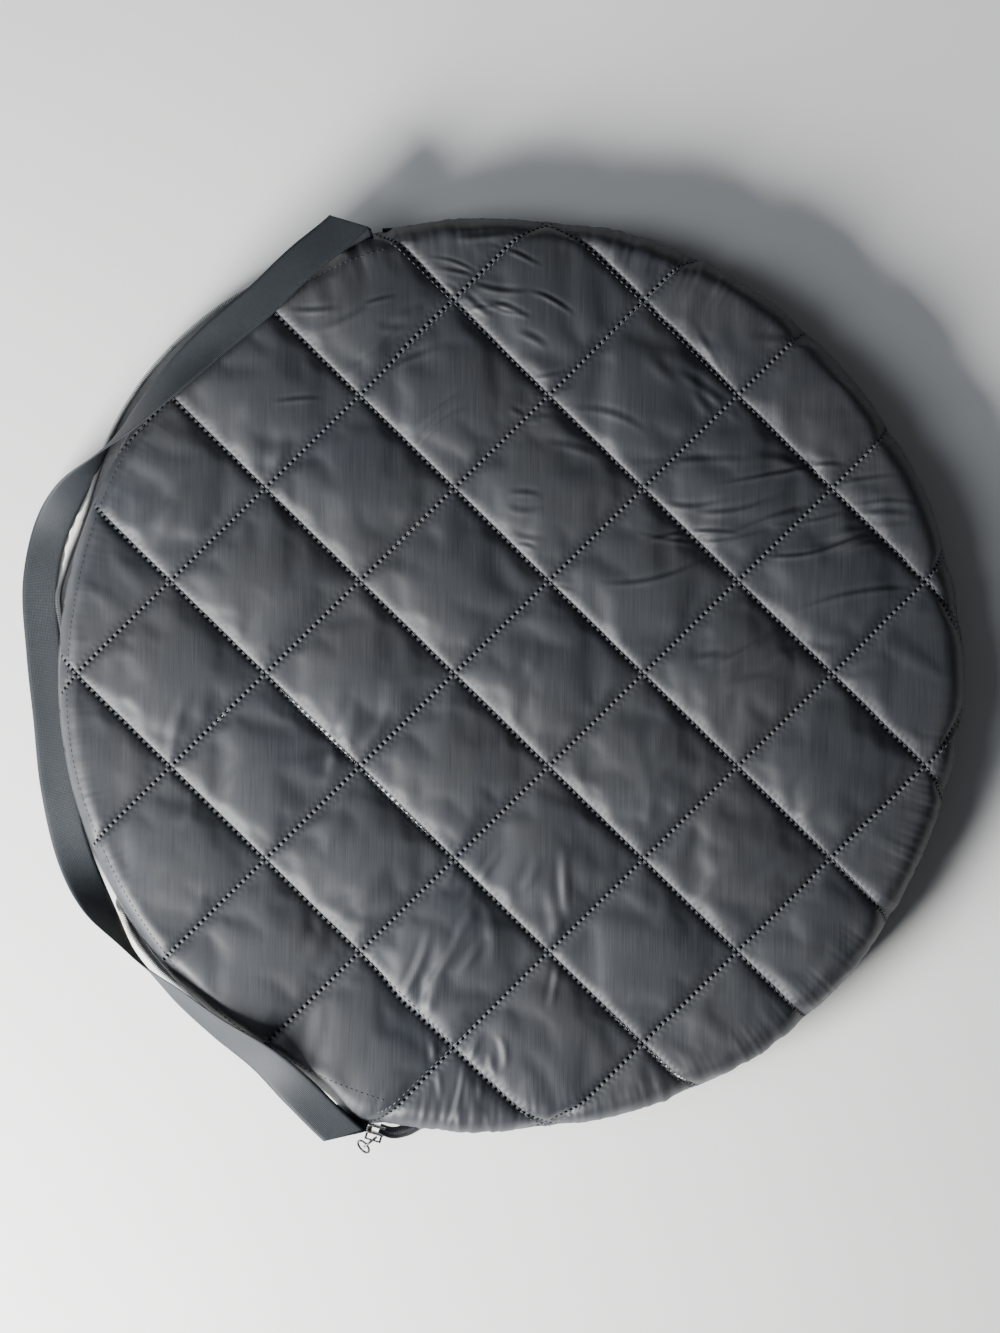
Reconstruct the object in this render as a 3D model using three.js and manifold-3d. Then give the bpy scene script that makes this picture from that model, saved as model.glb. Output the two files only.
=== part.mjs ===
// A collapsed reflector disc in its round quilted zip case, lying flat with the mouth unzipped.
// Millimetres, +Z up. The origin is the centre of the disc on the case's flat underside.
// The mouth faces -X; angles are counted from +X, anticlockwise seen from above.

import * as THREE from 'three';
import { mergeVertices } from 'three/addons/utils/BufferGeometryUtils.js';
import Module from 'manifold-3d';

const wasm = await Module();
wasm.setup();

// Case
const CASE_R = 317;          // rim, at the seam
const CASE_T = 52;           // thickness
const SEAM_Z = CASE_T / 2;   // height of the rim seam
const FLAT_R = 300;          // the panels are flat out to here, then roll over to the seam
const ROLL = CASE_R - FLAT_R;
const CLEAR = 0.3;           // gap between pieces that touch
const COVER = [0, 1];        // depth of each layer below the outer surface: quilted nylon,
const BATTING = [1.3, 7.3];  // polyester wadding
const LINING = [7.6, 8.6];   // and lining
const PANEL_SEGMENTS = 72;
const ROLL_STEPS = 4;
const MOUTH_SLACK = 0.2;     // the open mouth is this much shallower than the gap between the linings
const SEAM_BINDING = { radius: 303, wide: 8, thick: 2.4, endGap: 3, steps: 40 };

// Mouth and zip
const ZIP_HALF = 73.5;       // half the zip's arc, in degrees either side of -X
const OPEN_HALF = 69.2;      // inside this the two panels stand apart
const HINGE_X = CASE_R * Math.cos(THREE.MathUtils.degToRad(180 - ZIP_HALF)) - 3;
const TAPE_W = 14;
const TAPE_T = 1;
const COIL_W = 2.4;
const COIL_T = 2;
const ZIP_STEPS = 36;
const ZIP_END_GAP = 5.3;     // degrees of arc between the tapes and the zip's ends
const FRONT_TAPE_EDGE = 318;
const BACK_TAPE = { edge: 311, shows: 11, from: 12, to: 30 };
const TAPE_OFF_SEAM = { sewn: 7, open: SEAM_Z - LINING[1] - TAPE_T - 0.4 };
const TRACK_R = 331;         // radius of the slider's run
const SLIDER_ANGLE = 180 + ZIP_HALF;
const TAIL = { thick: 1.6, tall: 12, steps: 8, startR: CASE_R + 2.2, bottom: [4.5, 0.4], top: [-6, -2.4] };

// Carrying strap
const STRAP_W = 25;
const STRAP_T = 1.4;
const STRAP_STEPS = 120;
const STRAP_THREADS = 4;     // strips across the webbing's section
const STRAP_END = { radius: 321, height: 38.5, steps: 4, top: [106.2, 108], bottom: [253.8, 252] };

// Reflector, folded to three rings
const DISC_R = 280;
const DISC_LOW = 13.2;
const RINGS = 3;
const RING_PITCH = 6.5;
const BINDING = { tall: 6, deep: 7, wall: 0.6 };
const BAND = { tall: 4.2, thick: 1, firstTurn: 0.02, lastTurn: RINGS - 0.04 };
const SLEEVE = { wall: 0.6, firstTurn: RINGS - 0.038, lastTurn: RINGS - 0.02 };
const RING_STEPS = 36;
const CLOTH = { radius: 270, low: DISC_LOW + 0.3, middle: DISC_LOW + 12.8, high: DISC_LOW + 25.2, soft: 4 };

const rad = THREE.MathUtils.degToRad;

// --- materials ------------------------------------------------------------------------------

function finish(color, roughness, metalness = 0) {
  return new THREE.MeshStandardMaterial({ color, roughness, metalness });
}
const quiltNylon = () => finish(0x2b3036, 0.45);
const wadding = () => finish(0xe9e9e6, 0.95);
const liningCloth = () => finish(0xdedbd0, 0.8);
const webbing = () => finish(0x2a3038, 0.7);
const zipCloth = () => finish(0x16181b, 0.8);
const zipNylon = () => finish(0x1b1e22, 0.4);
const blackMetal = () => finish(0x1d1f22, 0.3, 0.9);
const springSteel = () => finish(0x8d9196, 0.35, 1);
const silverCloth = () => finish(0xc9ccd0, 0.35, 0.6);
const whiteCloth = () => finish(0xf2f0ea, 0.8);

// --- shaping --------------------------------------------------------------------------------

function solid(geometry) {
  const bare = new THREE.BufferGeometry().setAttribute('position',
    (geometry.index ? geometry.toNonIndexed() : geometry).getAttribute('position'));
  const merged = mergeVertices(bare, 1e-3);
  return new wasm.Manifold(new wasm.Mesh({
    numProp: 3,
    vertProperties: merged.attributes.position.array,
    triVerts: new Uint32Array(merged.index.array),
  }));
}

function geometryOf(manifold) {
  const mesh = manifold.getMesh();
  const geometry = new THREE.BufferGeometry();
  geometry.setAttribute('position', new THREE.BufferAttribute(mesh.vertProperties, 3));
  geometry.setIndex(new THREE.BufferAttribute(mesh.triVerts, 1));
  return geometry;
}

function joined(...geometries) {
  return geometryOf(geometries.map(solid).reduce((whole, piece) => whole.add(piece)));
}

// Moves every vertex of a geometry to where place(x, y, z) puts it.
function moved(geometry, place) {
  const position = geometry.attributes.position;
  for (let i = 0; i < position.count; i++) {
    const p = place(position.getX(i), position.getY(i), position.getZ(i));
    position.setXYZ(i, p.x, p.y, p.z);
  }
  return geometry;
}

function polar(degrees, radius, height) {
  return new THREE.Vector3(radius * Math.cos(rad(degrees)), radius * Math.sin(rad(degrees)), height);
}

// A place on a ring about the axis, for a section whose x points outwards; way is 1 going anticlockwise.
function onRing(degrees, radius, height, way = 1) {
  const up = new THREE.Vector3(0, 0, -way);
  return { at: polar(degrees, radius, height), across: polar(degrees, 1, 0), up };
}

// A flat section swept along a route: place(t) gives the centre, the section's x and its y direction.
function swept(shape, steps, place) {
  const straight = new THREE.ExtrudeGeometry(shape, { depth: 1, steps, bevelEnabled: false });
  return moved(straight, (x, y, t) => {
    const { at, across, up } = place(t);
    return at.clone().addScaledVector(across, x).addScaledVector(up, y);
  });
}

function rectangle(width, height) {
  return new THREE.Shape([[-1, -1], [1, -1], [1, 1], [-1, 1]].map(
    ([x, y]) => new THREE.Vector2((x * width) / 2, (y * height) / 2)));
}

// A strip crowned a little in the middle, its faces split into narrower strips.
function crownedStrip(width, height, strips) {
  const across = Array.from({ length: strips + 1 }, (_, i) => (2 * i) / strips - 1);
  const half = (x) => (height / 2) * (1 - 0.15 * x * x);
  return new THREE.Shape([
    ...across.map((x) => new THREE.Vector2((x * width) / 2, -half(x))),
    ...across.reverse().map((x) => new THREE.Vector2((x * width) / 2, half(x))),
  ]);
}

function oval(width, height, sides) {
  const points = Array.from({ length: sides }, (_, i) => (2 * Math.PI * (i + 0.5)) / sides)
    .map((a) => new THREE.Vector2((width / 2) * Math.cos(a), (height / 2) * Math.sin(a)));
  return new THREE.Shape(points);
}

// --- quilted panels -------------------------------------------------------------------------

// How far the tapes stand apart at an angle: 0 beside the sewn rim, 1 across the open mouth.
function openness(degrees) {
  const fromMouth = Math.abs(180 - THREE.MathUtils.euclideanModulo(degrees, 360));
  return 1 - THREE.MathUtils.smoothstep(fromMouth, OPEN_HALF - 4, ZIP_HALF);
}

// One surface of a panel, from the axis out to the seam; heights count from the seam.
function skin(depth) {
  const top = SEAM_Z - depth;
  const points = [new THREE.Vector2(0, top)];
  for (let i = 0; i <= ROLL_STEPS; i++) {
    const a = (i / ROLL_STEPS) * (Math.PI / 2);
    points.push(new THREE.Vector2(
      FLAT_R + (ROLL - depth) * Math.sin(a),
      CLEAR / 2 + (top - CLEAR / 2) * Math.cos(a)));
  }
  return points;
}

// The space between the panels where the zip is open, as deep as the flat part of the linings.
function mouthSpace() {
  const outline = new THREE.Shape([new THREE.Vector2(0, 0)]);
  for (const degrees of [180 - OPEN_HALF, 180, 180 + OPEN_HALF]) {
    const corner = polar(degrees, 3 * CASE_R, 0);
    outline.lineTo(corner.x, corner.y);
  }
  const depth = CASE_T - 2 * LINING[1] - MOUTH_SLACK;
  return new THREE.ExtrudeGeometry(outline, { depth, bevelEnabled: false })
    .translate(0, 0, SEAM_Z - depth / 2);
}

// A layer of the front (side 1) or back (side -1) panel, rolled over at the rim; where the zip
// is open the roll ends short of the seam.
function panelLayer([outer, inner], side) {
  const outline = [...skin(inner), ...skin(outer).reverse()].map((p) => p.setY(p.y * side));
  const profile = side > 0 ? outline : outline.reverse();
  const layer = new THREE.LatheGeometry(profile, PANEL_SEGMENTS)
    .rotateX(Math.PI / 2).translate(0, 0, SEAM_Z);
  return geometryOf(solid(layer).subtract(solid(mouthSpace())));
}

// The part of a front layer on one side of the chord where the mouth flap hinges.
function cutAtHinge(geometry, keepMouth) {
  const size = 2 * CASE_R;
  const block = new THREE.BoxGeometry(size, 2 * size, size);
  const edge = keepMouth ? HINGE_X - CLEAR - size / 2 : HINGE_X + CLEAR + size / 2;
  block.translate(edge, 0, 0);
  return geometryOf(solid(geometry).intersect(solid(block)));
}

// Binding tape over the seam allowance, inside the sewn part of the rim.
function seamBinding() {
  const { radius, wide, thick, endGap, steps } = SEAM_BINDING;
  const sewn = 360 - 2 * (ZIP_HALF + endGap);
  return swept(rectangle(wide, thick), steps, (t) => onRing((t - 0.5) * sewn, radius, SEAM_Z));
}

// --- zip ------------------------------------------------------------------------------------

// Outer edge of a tape: the back one shows beyond the panel either side of the middle.
function tapeEdge(degrees, side) {
  if (side > 0) return FRONT_TAPE_EDGE;
  const fromMouth = Math.abs(180 - degrees);
  const { edge, shows, from, to } = BACK_TAPE;
  return edge + shows * THREE.MathUtils.smoothstep(fromMouth, from, to);
}

function tapeHeight(degrees, side) {
  const apart = THREE.MathUtils.lerp(TAPE_OFF_SEAM.sewn, TAPE_OFF_SEAM.open, openness(degrees));
  return SEAM_Z + side * apart;
}

function alongZip(side, inset) {
  const half = ZIP_HALF - ZIP_END_GAP;
  return (t) => {
    const degrees = 180 + (t - 0.5) * 2 * half;
    return onRing(degrees, tapeEdge(degrees, side) - inset, tapeHeight(degrees, side));
  };
}

function zipTape(side) {
  const width = TAPE_W - COIL_W;
  return swept(rectangle(width, TAPE_T), ZIP_STEPS, alongZip(side, COIL_W + CLEAR + width / 2));
}

function zipCoil(side) {
  return swept(oval(COIL_W, COIL_T, 6), ZIP_STEPS, alongZip(side, COIL_W / 2));
}

// The end of the closed zip, standing on edge and leaving the seam towards the slider.
function zipTail(zipEnd, [from, to]) {
  return swept(rectangle(TAIL.thick, TAIL.tall), TAIL.steps, (t) => {
    const degrees = zipEnd + THREE.MathUtils.lerp(from, to, t);
    const radius = THREE.MathUtils.lerp(TAIL.startR, TRACK_R, THREE.MathUtils.smoothstep(t, 0, 0.85));
    return onRing(degrees, radius, SEAM_Z, Math.sign(to - from));
  });
}

// Slider: x points outwards from the rim, y along the zip away from the mouth, z up.
const SLIDER = { long: 13, tall: 10, plate: 1.5, slot: 3.4, corner: 1, shoulder: 2 };
const WEDGE = { radius: 1.8, at: 2.2 };
const BRIDGE = { out: 4.6, long: 12, rail: 1, foot: 1.6, wide: 2, footAt: 5.2 };
const TAB = {
  wide: 6.4, thick: 1.4, eye: 2.4, eyeHalf: 1.9, heel: 1.4, neck: 1.3, nose: 7, hole: 1.6, ringAt: 5.3,
};
const TAB_TURN = -35;        // the tab leans this way at rest
const RING = { radius: 5.2, wire: 0.9, droop: 55 };

function sliderBody() {
  const end = SLIDER.long / 2;
  const side = SLIDER.tall / 2;
  const plateX = (SLIDER.slot + SLIDER.plate) / 2;
  const plate = (x) => {
    const outline = new THREE.Shape();
    outline.moveTo(-end, SLIDER.corner - side);
    outline.quadraticCurveTo(-end, -side, SLIDER.shoulder - end, -side);
    outline.lineTo(end, -SLIDER.tall / 3);
    outline.lineTo(end, SLIDER.tall / 3);
    outline.lineTo(SLIDER.shoulder - end, side);
    outline.quadraticCurveTo(-end, side, -end, side - SLIDER.corner);
    const slab = new THREE.ExtrudeGeometry(outline, {
      depth: SLIDER.plate, bevelEnabled: false, curveSegments: 4,
    });
    slab.rotateX(Math.PI / 2).rotateZ(Math.PI / 2);
    return slab.translate(x - SLIDER.plate / 2, 0, 0);
  };
  const wedge = new THREE.CylinderGeometry(WEDGE.radius, WEDGE.radius, SLIDER.slot + SLIDER.plate / 2, 4);
  wedge.rotateZ(Math.PI / 2).translate(0, WEDGE.at - end, 0);
  const outside = plateX + SLIDER.plate / 2;
  const foot = (y) => new THREE.BoxGeometry(BRIDGE.out + BRIDGE.rail / 4, BRIDGE.foot, BRIDGE.wide)
    .translate(outside + BRIDGE.out / 2, y, 0);
  const rail = new THREE.BoxGeometry(BRIDGE.rail, BRIDGE.long, BRIDGE.wide);
  rail.translate(outside + BRIDGE.out, 0, 0);
  return joined(plate(-plateX), plate(plateX), wedge, foot(-BRIDGE.footAt), foot(BRIDGE.footAt), rail);
}

// Pull tab: an eye round the slider's bridge at one end and a hole for the ring at the other.
function pullTab() {
  const half = TAB.wide / 2;
  const back = -TAB.eye - TAB.heel;
  const outline = new THREE.Shape();
  outline.moveTo(back, -half);
  outline.lineTo(TAB.ringAt - TAB.neck, -half);
  outline.quadraticCurveTo(TAB.ringAt + TAB.nose, 0, TAB.ringAt - TAB.neck, half);
  outline.lineTo(back, half);
  const eye = new THREE.Path();
  eye.moveTo(-TAB.eye, -TAB.eyeHalf);
  eye.lineTo(-TAB.eye, TAB.eyeHalf);
  eye.lineTo(TAB.eye, TAB.eyeHalf);
  eye.lineTo(TAB.eye, -TAB.eyeHalf);
  const hole = new THREE.Path().absellipse(TAB.ringAt, 0, TAB.hole, TAB.hole, 0, 2 * Math.PI, true, 0);
  outline.holes.push(eye, hole);
  const slab = new THREE.ExtrudeGeometry(outline, {
    depth: TAB.thick, bevelEnabled: false, curveSegments: 6,
  });
  return slab.rotateX(Math.PI / 2).translate(0, TAB.thick / 2, 0);
}

// --- carrying strap -------------------------------------------------------------------------

// Stations along the strap: angle, radius, height and roll (0 lies flat, 90 stands on edge).
const STRAP_ROUTE = [
  [109.2, 321, 38, 90], [112, 321.5, 42, 75], [115.5, 320, 50, 40], [119, 318, 55, 8],
  [123, 314, 55, 0], [128, 313, 55, 0], [136, 316, 54, 12], [144, 321, 48, 50],
  [151, 327, 32, 90], [157, 335, 15, 140], [162, 340, 4, 176], [168, 339, 1.2, 180],
  [177, 330, 1.2, 180], [185, 326, 1.2, 180], [194, 329, 1.2, 180], [203, 333, 4, 176],
  [209, 332, 15, 140], [215, 328, 32, 90], [222, 322, 48, 50], [229, 317, 54, 12],
  [236, 315, 55, 0], [241, 317, 55, 8], [245, 320, 50, 40], [248.5, 321.5, 42, 75],
  [250.8, 321, 38, 90],
];

function strapWebbing() {
  const stations = STRAP_ROUTE.map(([angle, radius, height]) => polar(angle, radius, height));
  const route = new THREE.CatmullRomCurve3(stations, false, 'centripetal');
  const roll = (t) => {
    const u = t * (STRAP_ROUTE.length - 1);
    const i = Math.min(Math.floor(u), STRAP_ROUTE.length - 2);
    return rad(THREE.MathUtils.lerp(STRAP_ROUTE[i][3], STRAP_ROUTE[i + 1][3], u - i));
  };
  const up = new THREE.Vector3(0, 0, 1);
  return swept(crownedStrip(STRAP_W, STRAP_T, STRAP_THREADS), STRAP_STEPS, (t) => {
    const tangent = route.getTangent(t);
    const inwards = new THREE.Vector3().crossVectors(up, tangent).normalize();
    const rise = new THREE.Vector3().crossVectors(tangent, inwards).normalize();
    const a = roll(t);
    const across = inwards.clone().multiplyScalar(Math.cos(a)).addScaledVector(rise, Math.sin(a));
    return { at: route.getPoint(t), across, up: new THREE.Vector3().crossVectors(tangent, across) };
  });
}

// The folded end of the strap, bar-tacked against the rim beside the zip's end.
function strapEnd([from, to]) {
  return swept(rectangle(2 * STRAP_T, STRAP_W - 1), STRAP_END.steps, (t) => {
    const degrees = THREE.MathUtils.lerp(from, to, t);
    return onRing(degrees, STRAP_END.radius, STRAP_END.height, Math.sign(to - from));
  });
}

// --- reflector ------------------------------------------------------------------------------

// A section that follows the folded rim round its three rings, from one turn count to another.
function ringCoil(shape, firstTurn, lastTurn) {
  const steps = Math.max(4, Math.round((lastTurn - firstTurn) * RING_STEPS));
  const middleR = DISC_R - BINDING.deep / 2;
  return swept(shape, steps, (t) => {
    const turn = THREE.MathUtils.lerp(firstTurn, lastTurn, t);
    return onRing(turn * 360, middleR, DISC_LOW + BINDING.tall / 2 + turn * RING_PITCH);
  });
}

// The binding is folded round the spring band and open towards the cloth.
function bindingSection() {
  const { tall, deep, wall } = BINDING;
  return new THREE.Shape([
    [-deep / 2, -tall / 2], [deep / 2, -tall / 2], [deep / 2, tall / 2], [-deep / 2, tall / 2],
    [-deep / 2, tall / 2 - wall], [deep / 2 - wall, tall / 2 - wall],
    [deep / 2 - wall, wall - tall / 2], [-deep / 2, wall - tall / 2],
  ].map(([x, y]) => new THREE.Vector2(x, y)));
}

// The folded cloth of one face of the reflector, pressed into a round pack.
function foldedCloth(low, high) {
  const { radius, soft } = CLOTH;
  const profile = [
    [0, low], [radius - soft, low], [radius, low + soft],
    [radius, high - soft], [radius - soft, high], [0, high],
  ].map(([r, z]) => new THREE.Vector2(r, z));
  return new THREE.LatheGeometry(profile, 48).rotateX(Math.PI / 2);
}

// --- assembly -------------------------------------------------------------------------------

const object = new THREE.Group();

function add(name, geometry, material, group = object) {
  const mesh = new THREE.Mesh(geometry, material);
  mesh.name = name;
  group.add(mesh);
  return mesh;
}

const LAYERS = [['cover', COVER, quiltNylon], ['batting', BATTING, wadding], ['lining', LINING, liningCloth]];
for (const [layer, depth, material] of LAYERS) {
  const front = panelLayer(depth, 1);
  add(`back_${layer}`, panelLayer(depth, -1), material());
  add(`front_${layer}`, cutAtHinge(front, false), material());
  add(`mouth_flap_${layer}`, cutAtHinge(front, true), material());
}
add('rim_seam_binding', seamBinding(), zipCloth());

add('front_zip_tape', zipTape(1), zipCloth());
add('back_zip_tape', zipTape(-1), zipCloth());
add('front_zip_coil', zipCoil(1), zipNylon());
add('back_zip_coil', zipCoil(-1), zipNylon());
add('zip_tail_bottom', zipTail(SLIDER_ANGLE, TAIL.bottom), zipCloth());
add('zip_tail_top', zipTail(180 - ZIP_HALF, TAIL.top), zipCloth());

const slider = new THREE.Group();
slider.position.copy(polar(SLIDER_ANGLE, TRACK_R, SEAM_Z));
slider.rotation.z = rad(SLIDER_ANGLE);
object.add(slider);
add('zip_slider', sliderBody(), blackMetal(), slider);

const tabPivot = new THREE.Group();
tabPivot.position.set(SLIDER.slot / 2 + SLIDER.plate + BRIDGE.out, 0, 0);
tabPivot.rotation.z = rad(TAB_TURN);
slider.add(tabPivot);
add('slider_pull_tab', pullTab(), blackMetal(), tabPivot);

const ringPivot = new THREE.Group();
ringPivot.position.x = TAB.ringAt;
ringPivot.rotation.y = rad(RING.droop);
tabPivot.add(ringPivot);
const wireRing = new THREE.TorusGeometry(RING.radius, RING.wire, 8, 20).translate(RING.radius, 0, 0);
add('pull_ring', wireRing, blackMetal(), ringPivot);

add('strap_webbing', strapWebbing(), webbing());
add('strap_end_top', strapEnd(STRAP_END.top), webbing());
add('strap_end_bottom', strapEnd(STRAP_END.bottom), webbing());

add('reflector_edge_binding', ringCoil(bindingSection(), 0, RINGS), zipCloth());
add('reflector_spring_band',
  ringCoil(rectangle(BAND.thick, BAND.tall), BAND.firstTurn, BAND.lastTurn), springSteel());
const sleeveSection = rectangle(BAND.thick + 2 * SLEEVE.wall, BAND.tall);
add('band_joint_sleeve', ringCoil(sleeveSection, SLEEVE.firstTurn, SLEEVE.lastTurn), springSteel());
add('reflector_white_cloth', foldedCloth(CLOTH.low, CLOTH.middle - CLEAR / 2), whiteCloth());
add('reflector_silver_cloth', foldedCloth(CLOTH.middle + CLEAR / 2, CLOTH.high), silverCloth());

export default object;
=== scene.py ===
"""Looks for a reflector disc in its round quilted zip case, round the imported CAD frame. Metres, +Z up."""

import math

import bmesh
import bpy
import numpy as np
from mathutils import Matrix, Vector
from mathutils.bvhtree import BVHTree


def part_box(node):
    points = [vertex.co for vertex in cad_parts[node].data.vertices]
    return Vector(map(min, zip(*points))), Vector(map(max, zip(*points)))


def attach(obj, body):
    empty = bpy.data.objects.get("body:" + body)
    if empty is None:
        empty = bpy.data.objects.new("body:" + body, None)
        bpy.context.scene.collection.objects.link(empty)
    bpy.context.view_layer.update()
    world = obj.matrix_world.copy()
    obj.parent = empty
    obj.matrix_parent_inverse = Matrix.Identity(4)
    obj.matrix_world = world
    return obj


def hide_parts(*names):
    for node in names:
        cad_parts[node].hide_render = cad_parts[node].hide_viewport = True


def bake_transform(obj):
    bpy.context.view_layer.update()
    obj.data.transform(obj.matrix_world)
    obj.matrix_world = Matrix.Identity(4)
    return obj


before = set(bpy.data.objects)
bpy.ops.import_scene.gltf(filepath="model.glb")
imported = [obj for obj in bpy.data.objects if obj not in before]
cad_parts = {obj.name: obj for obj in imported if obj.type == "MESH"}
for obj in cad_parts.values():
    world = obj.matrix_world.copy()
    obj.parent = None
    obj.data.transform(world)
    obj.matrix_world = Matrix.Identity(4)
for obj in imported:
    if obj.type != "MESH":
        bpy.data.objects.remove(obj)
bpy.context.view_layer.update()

MM = 0.001
SEED = 7

# Case, from the frame
CASE_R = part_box("front_cover")[1].x
CASE_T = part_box("front_cover")[1].z
SEAM_Z = CASE_T / 2
ROLL = 17 * MM                 # width of the rim, where the panels roll over to the seam
FLAT_R = CASE_R - ROLL
PANEL_T = 8.6 * MM             # nylon, wadding and lining together
LAYER_GAP = 0.3 * MM           # least distance between the two panels

# Mouth and zip: angles either side of -X, in degrees
ZIP_HALF = 73.5                # to the ends of the mouth
OPEN_FROM = 65.2               # the mouth is fully open nearer than this
ZIP_END_GAP = 5.3              # the front coil stops this far short of the mouth's ends

# Quilting: a lattice of diamonds with its lines on whole numbers of a and b
QUILT_CENTRE = np.array([-39.0, 1.4]) * MM
QUILT_HALF = np.array([65.5, 64.3]) * MM
LINE_APART = float(np.hypot(*QUILT_HALF))
STITCHES = 20                  # stitches from one crossing to the next
LAST_LINE = -2                 # the outermost sewn line of whole b on the mouth side
PILLOW = 4.8 * MM              # height of the wadding's pillows over the stitched lines

RIB = 1.07 * MM                # from one rib of the strap's webbing to the next


# --- numbers --------------------------------------------------------------------------------


def smoothstep(x, low, high):
    t = np.clip((x - low) / (high - low), 0, 1)
    return t * t * (3 - 2 * t)


def lerp(a, b, t):
    return a + (b - a) * t


def polar(points):
    """Distance from the axis, and angle from +X in radians."""
    return np.hypot(points[:, 0], points[:, 1]), np.arctan2(points[:, 1], points[:, 0])


def circle(angle):
    """Points on a circle of radius 1."""
    return np.stack([np.cos(angle), np.sin(angle)], 1)


def wave_noise(points, size, seed):
    """Smooth noise, mostly from -1 to 1: a sum of plane waves about size long, in seeded directions."""
    rng = np.random.default_rng(seed)
    total = np.zeros(len(points))
    waves = 14
    for _ in range(waves):
        turn, phase = rng.uniform(0, 2 * math.pi, 2)
        k = 2 * math.pi / (size * rng.uniform(0.6, 1.7))
        along = points[:, 0] * math.cos(turn) + points[:, 1] * math.sin(turn)
        total += np.sin(k * along + phase)
    return total / math.sqrt(2 * waves)


# --- the panels' surface --------------------------------------------------------------------

ROLL_TURN = np.linspace(0, math.pi / 2, 241)
ROLL_OUT = FLAT_R + ROLL * np.sin(ROLL_TURN)
ROLL_UP = SEAM_Z * np.cos(ROLL_TURN)
ROLL_LENGTH = FLAT_R + np.concatenate([[0], np.cumsum(np.hypot(np.diff(ROLL_OUT), np.diff(ROLL_UP)))])
SHEET_R = float(ROLL_LENGTH[-1])
MOUTH_UP = SEAM_Z - PANEL_T - LAYER_GAP / 2
MOUTH_S = float(np.interp(-MOUTH_UP, -ROLL_UP, ROLL_LENGTH))


def openness(angle):
    """0 beside the sewn rim, 1 across the open mouth, for angles from +X in radians."""
    from_mouth = np.degrees(np.abs(np.abs(angle) - math.pi))
    return 1 - smoothstep(from_mouth, OPEN_FROM, ZIP_HALF)


def sheet_edge(angle):
    """How far out the flat cloth reaches at an angle: to the seam, or to the mouth's edge."""
    return lerp(SHEET_R, MOUTH_S, openness(angle))


def past_edge(flat):
    """How far flat points lie outside the panel's edge: negative on the panel."""
    s, angle = polar(flat)
    return s - sheet_edge(angle)


def rolled(flat):
    """Where flat cloth lies: points over the seam's plane, and the surface's outward normals."""
    s, angle = polar(flat)
    turn = np.interp(s, ROLL_LENGTH, ROLL_TURN, left=0)
    out = np.where(s < FLAT_R, s, np.interp(s, ROLL_LENGTH, ROLL_OUT))
    up = np.where(s < FLAT_R, SEAM_Z, np.interp(s, ROLL_LENGTH, ROLL_UP))
    lean_out, lean_up = np.sin(turn) / ROLL, np.cos(turn) / SEAM_Z
    length = np.hypot(lean_out, lean_up)
    lean_out = np.where(s < FLAT_R, 0, lean_out / length)
    lean_up = np.where(s < FLAT_R, 1, lean_up / length)
    cos, sin = np.cos(angle), np.sin(angle)
    points = np.stack([out * cos, out * sin, up], 1)
    normals = np.stack([lean_out * cos, lean_out * sin, lean_up], 1)
    return points, normals


def lattice(flat):
    """Flat points as a and b: whole numbers of a are the quilting lines that rise to the right."""
    p, q = ((flat - QUILT_CENTRE) / QUILT_HALF).T
    return (p - q) / 2, (p + q) / 2


def unlattice(a, b):
    return QUILT_CENTRE + np.stack([a + b, b - a], -1) * QUILT_HALF


def off_lines(flat):
    """How far a and b are from the nearest sewn line."""
    a, b = lattice(flat)
    return np.abs(a - np.round(a)), np.abs(b - np.maximum(np.round(b), LAST_LINE))


def line_distances(flat):
    return [x * LINE_APART for x in off_lines(flat)]


def pillow(flat):
    """Height of the wadding, 0 on the stitched lines and 1 in the middle of a diamond."""
    rise = []
    for d in line_distances(flat):
        x = np.clip(2 * d / LINE_APART, 0, 1)
        rise.append(0.72 * (1 - np.exp(-d / (3.0 * MM))) + 0.28 * (1 - (1 - x) ** 2))
    return rise[0] * rise[1]


def edge_fade(flat):
    """1 over most of a panel, down to 0 at its edge, where it is sewn flat."""
    return 1 - smoothstep(past_edge(flat), -15 * MM, 0)


# Bulges and hollows of the rim: height in mm, where round the case, and width in radians
BULGES = [(-2.6, 0.55, 0.28), (-1.8, -0.45, 0.2), (4.5, -1.8, 0.22), (14, -1.95, 0.1), (4.0, 1.87, 0.1)]


def outline(points):
    """The rim isn't quite round: it wanders, bulges beside the strap's ends and dips at quilting lines."""
    r, angle = polar(points)
    ring = circle(angle)
    nearest = np.minimum(*line_distances(ring * (CASE_R - 4 * MM)))
    wander = 1.2 + 2.2 * np.cos(angle - 2.0) + 0.9 * wave_noise(ring, 0.5, SEED + 3)
    wander -= 1.3 * np.exp(-(nearest / (7 * MM)) ** 2)
    for height, where, width in BULGES:
        wander += height * np.exp(-((angle - where) / width) ** 2)
    share = smoothstep(r, 0.6 * CASE_R, CASE_R) * (1 - 0.8 * openness(angle))
    move = np.zeros_like(points)
    move[:, :2] = ring * (wander * share * MM)[:, None]
    return points + move


def panel_points(flat, side, depth=0.0, swell=1.0):
    """Points of a panel's layer at a depth under its outer face. side is 1 for the front, -1 for the back."""
    points, normals = rolled(flat)
    sunk = PILLOW * (1 - pillow(flat)) * edge_fade(flat) * swell
    points -= normals * (depth + sunk)[:, None]
    points[:, 2] = SEAM_Z + side * np.maximum(points[:, 2], LAYER_GAP / 2)
    return outline(points)


# --- meshes ---------------------------------------------------------------------------------


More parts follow.
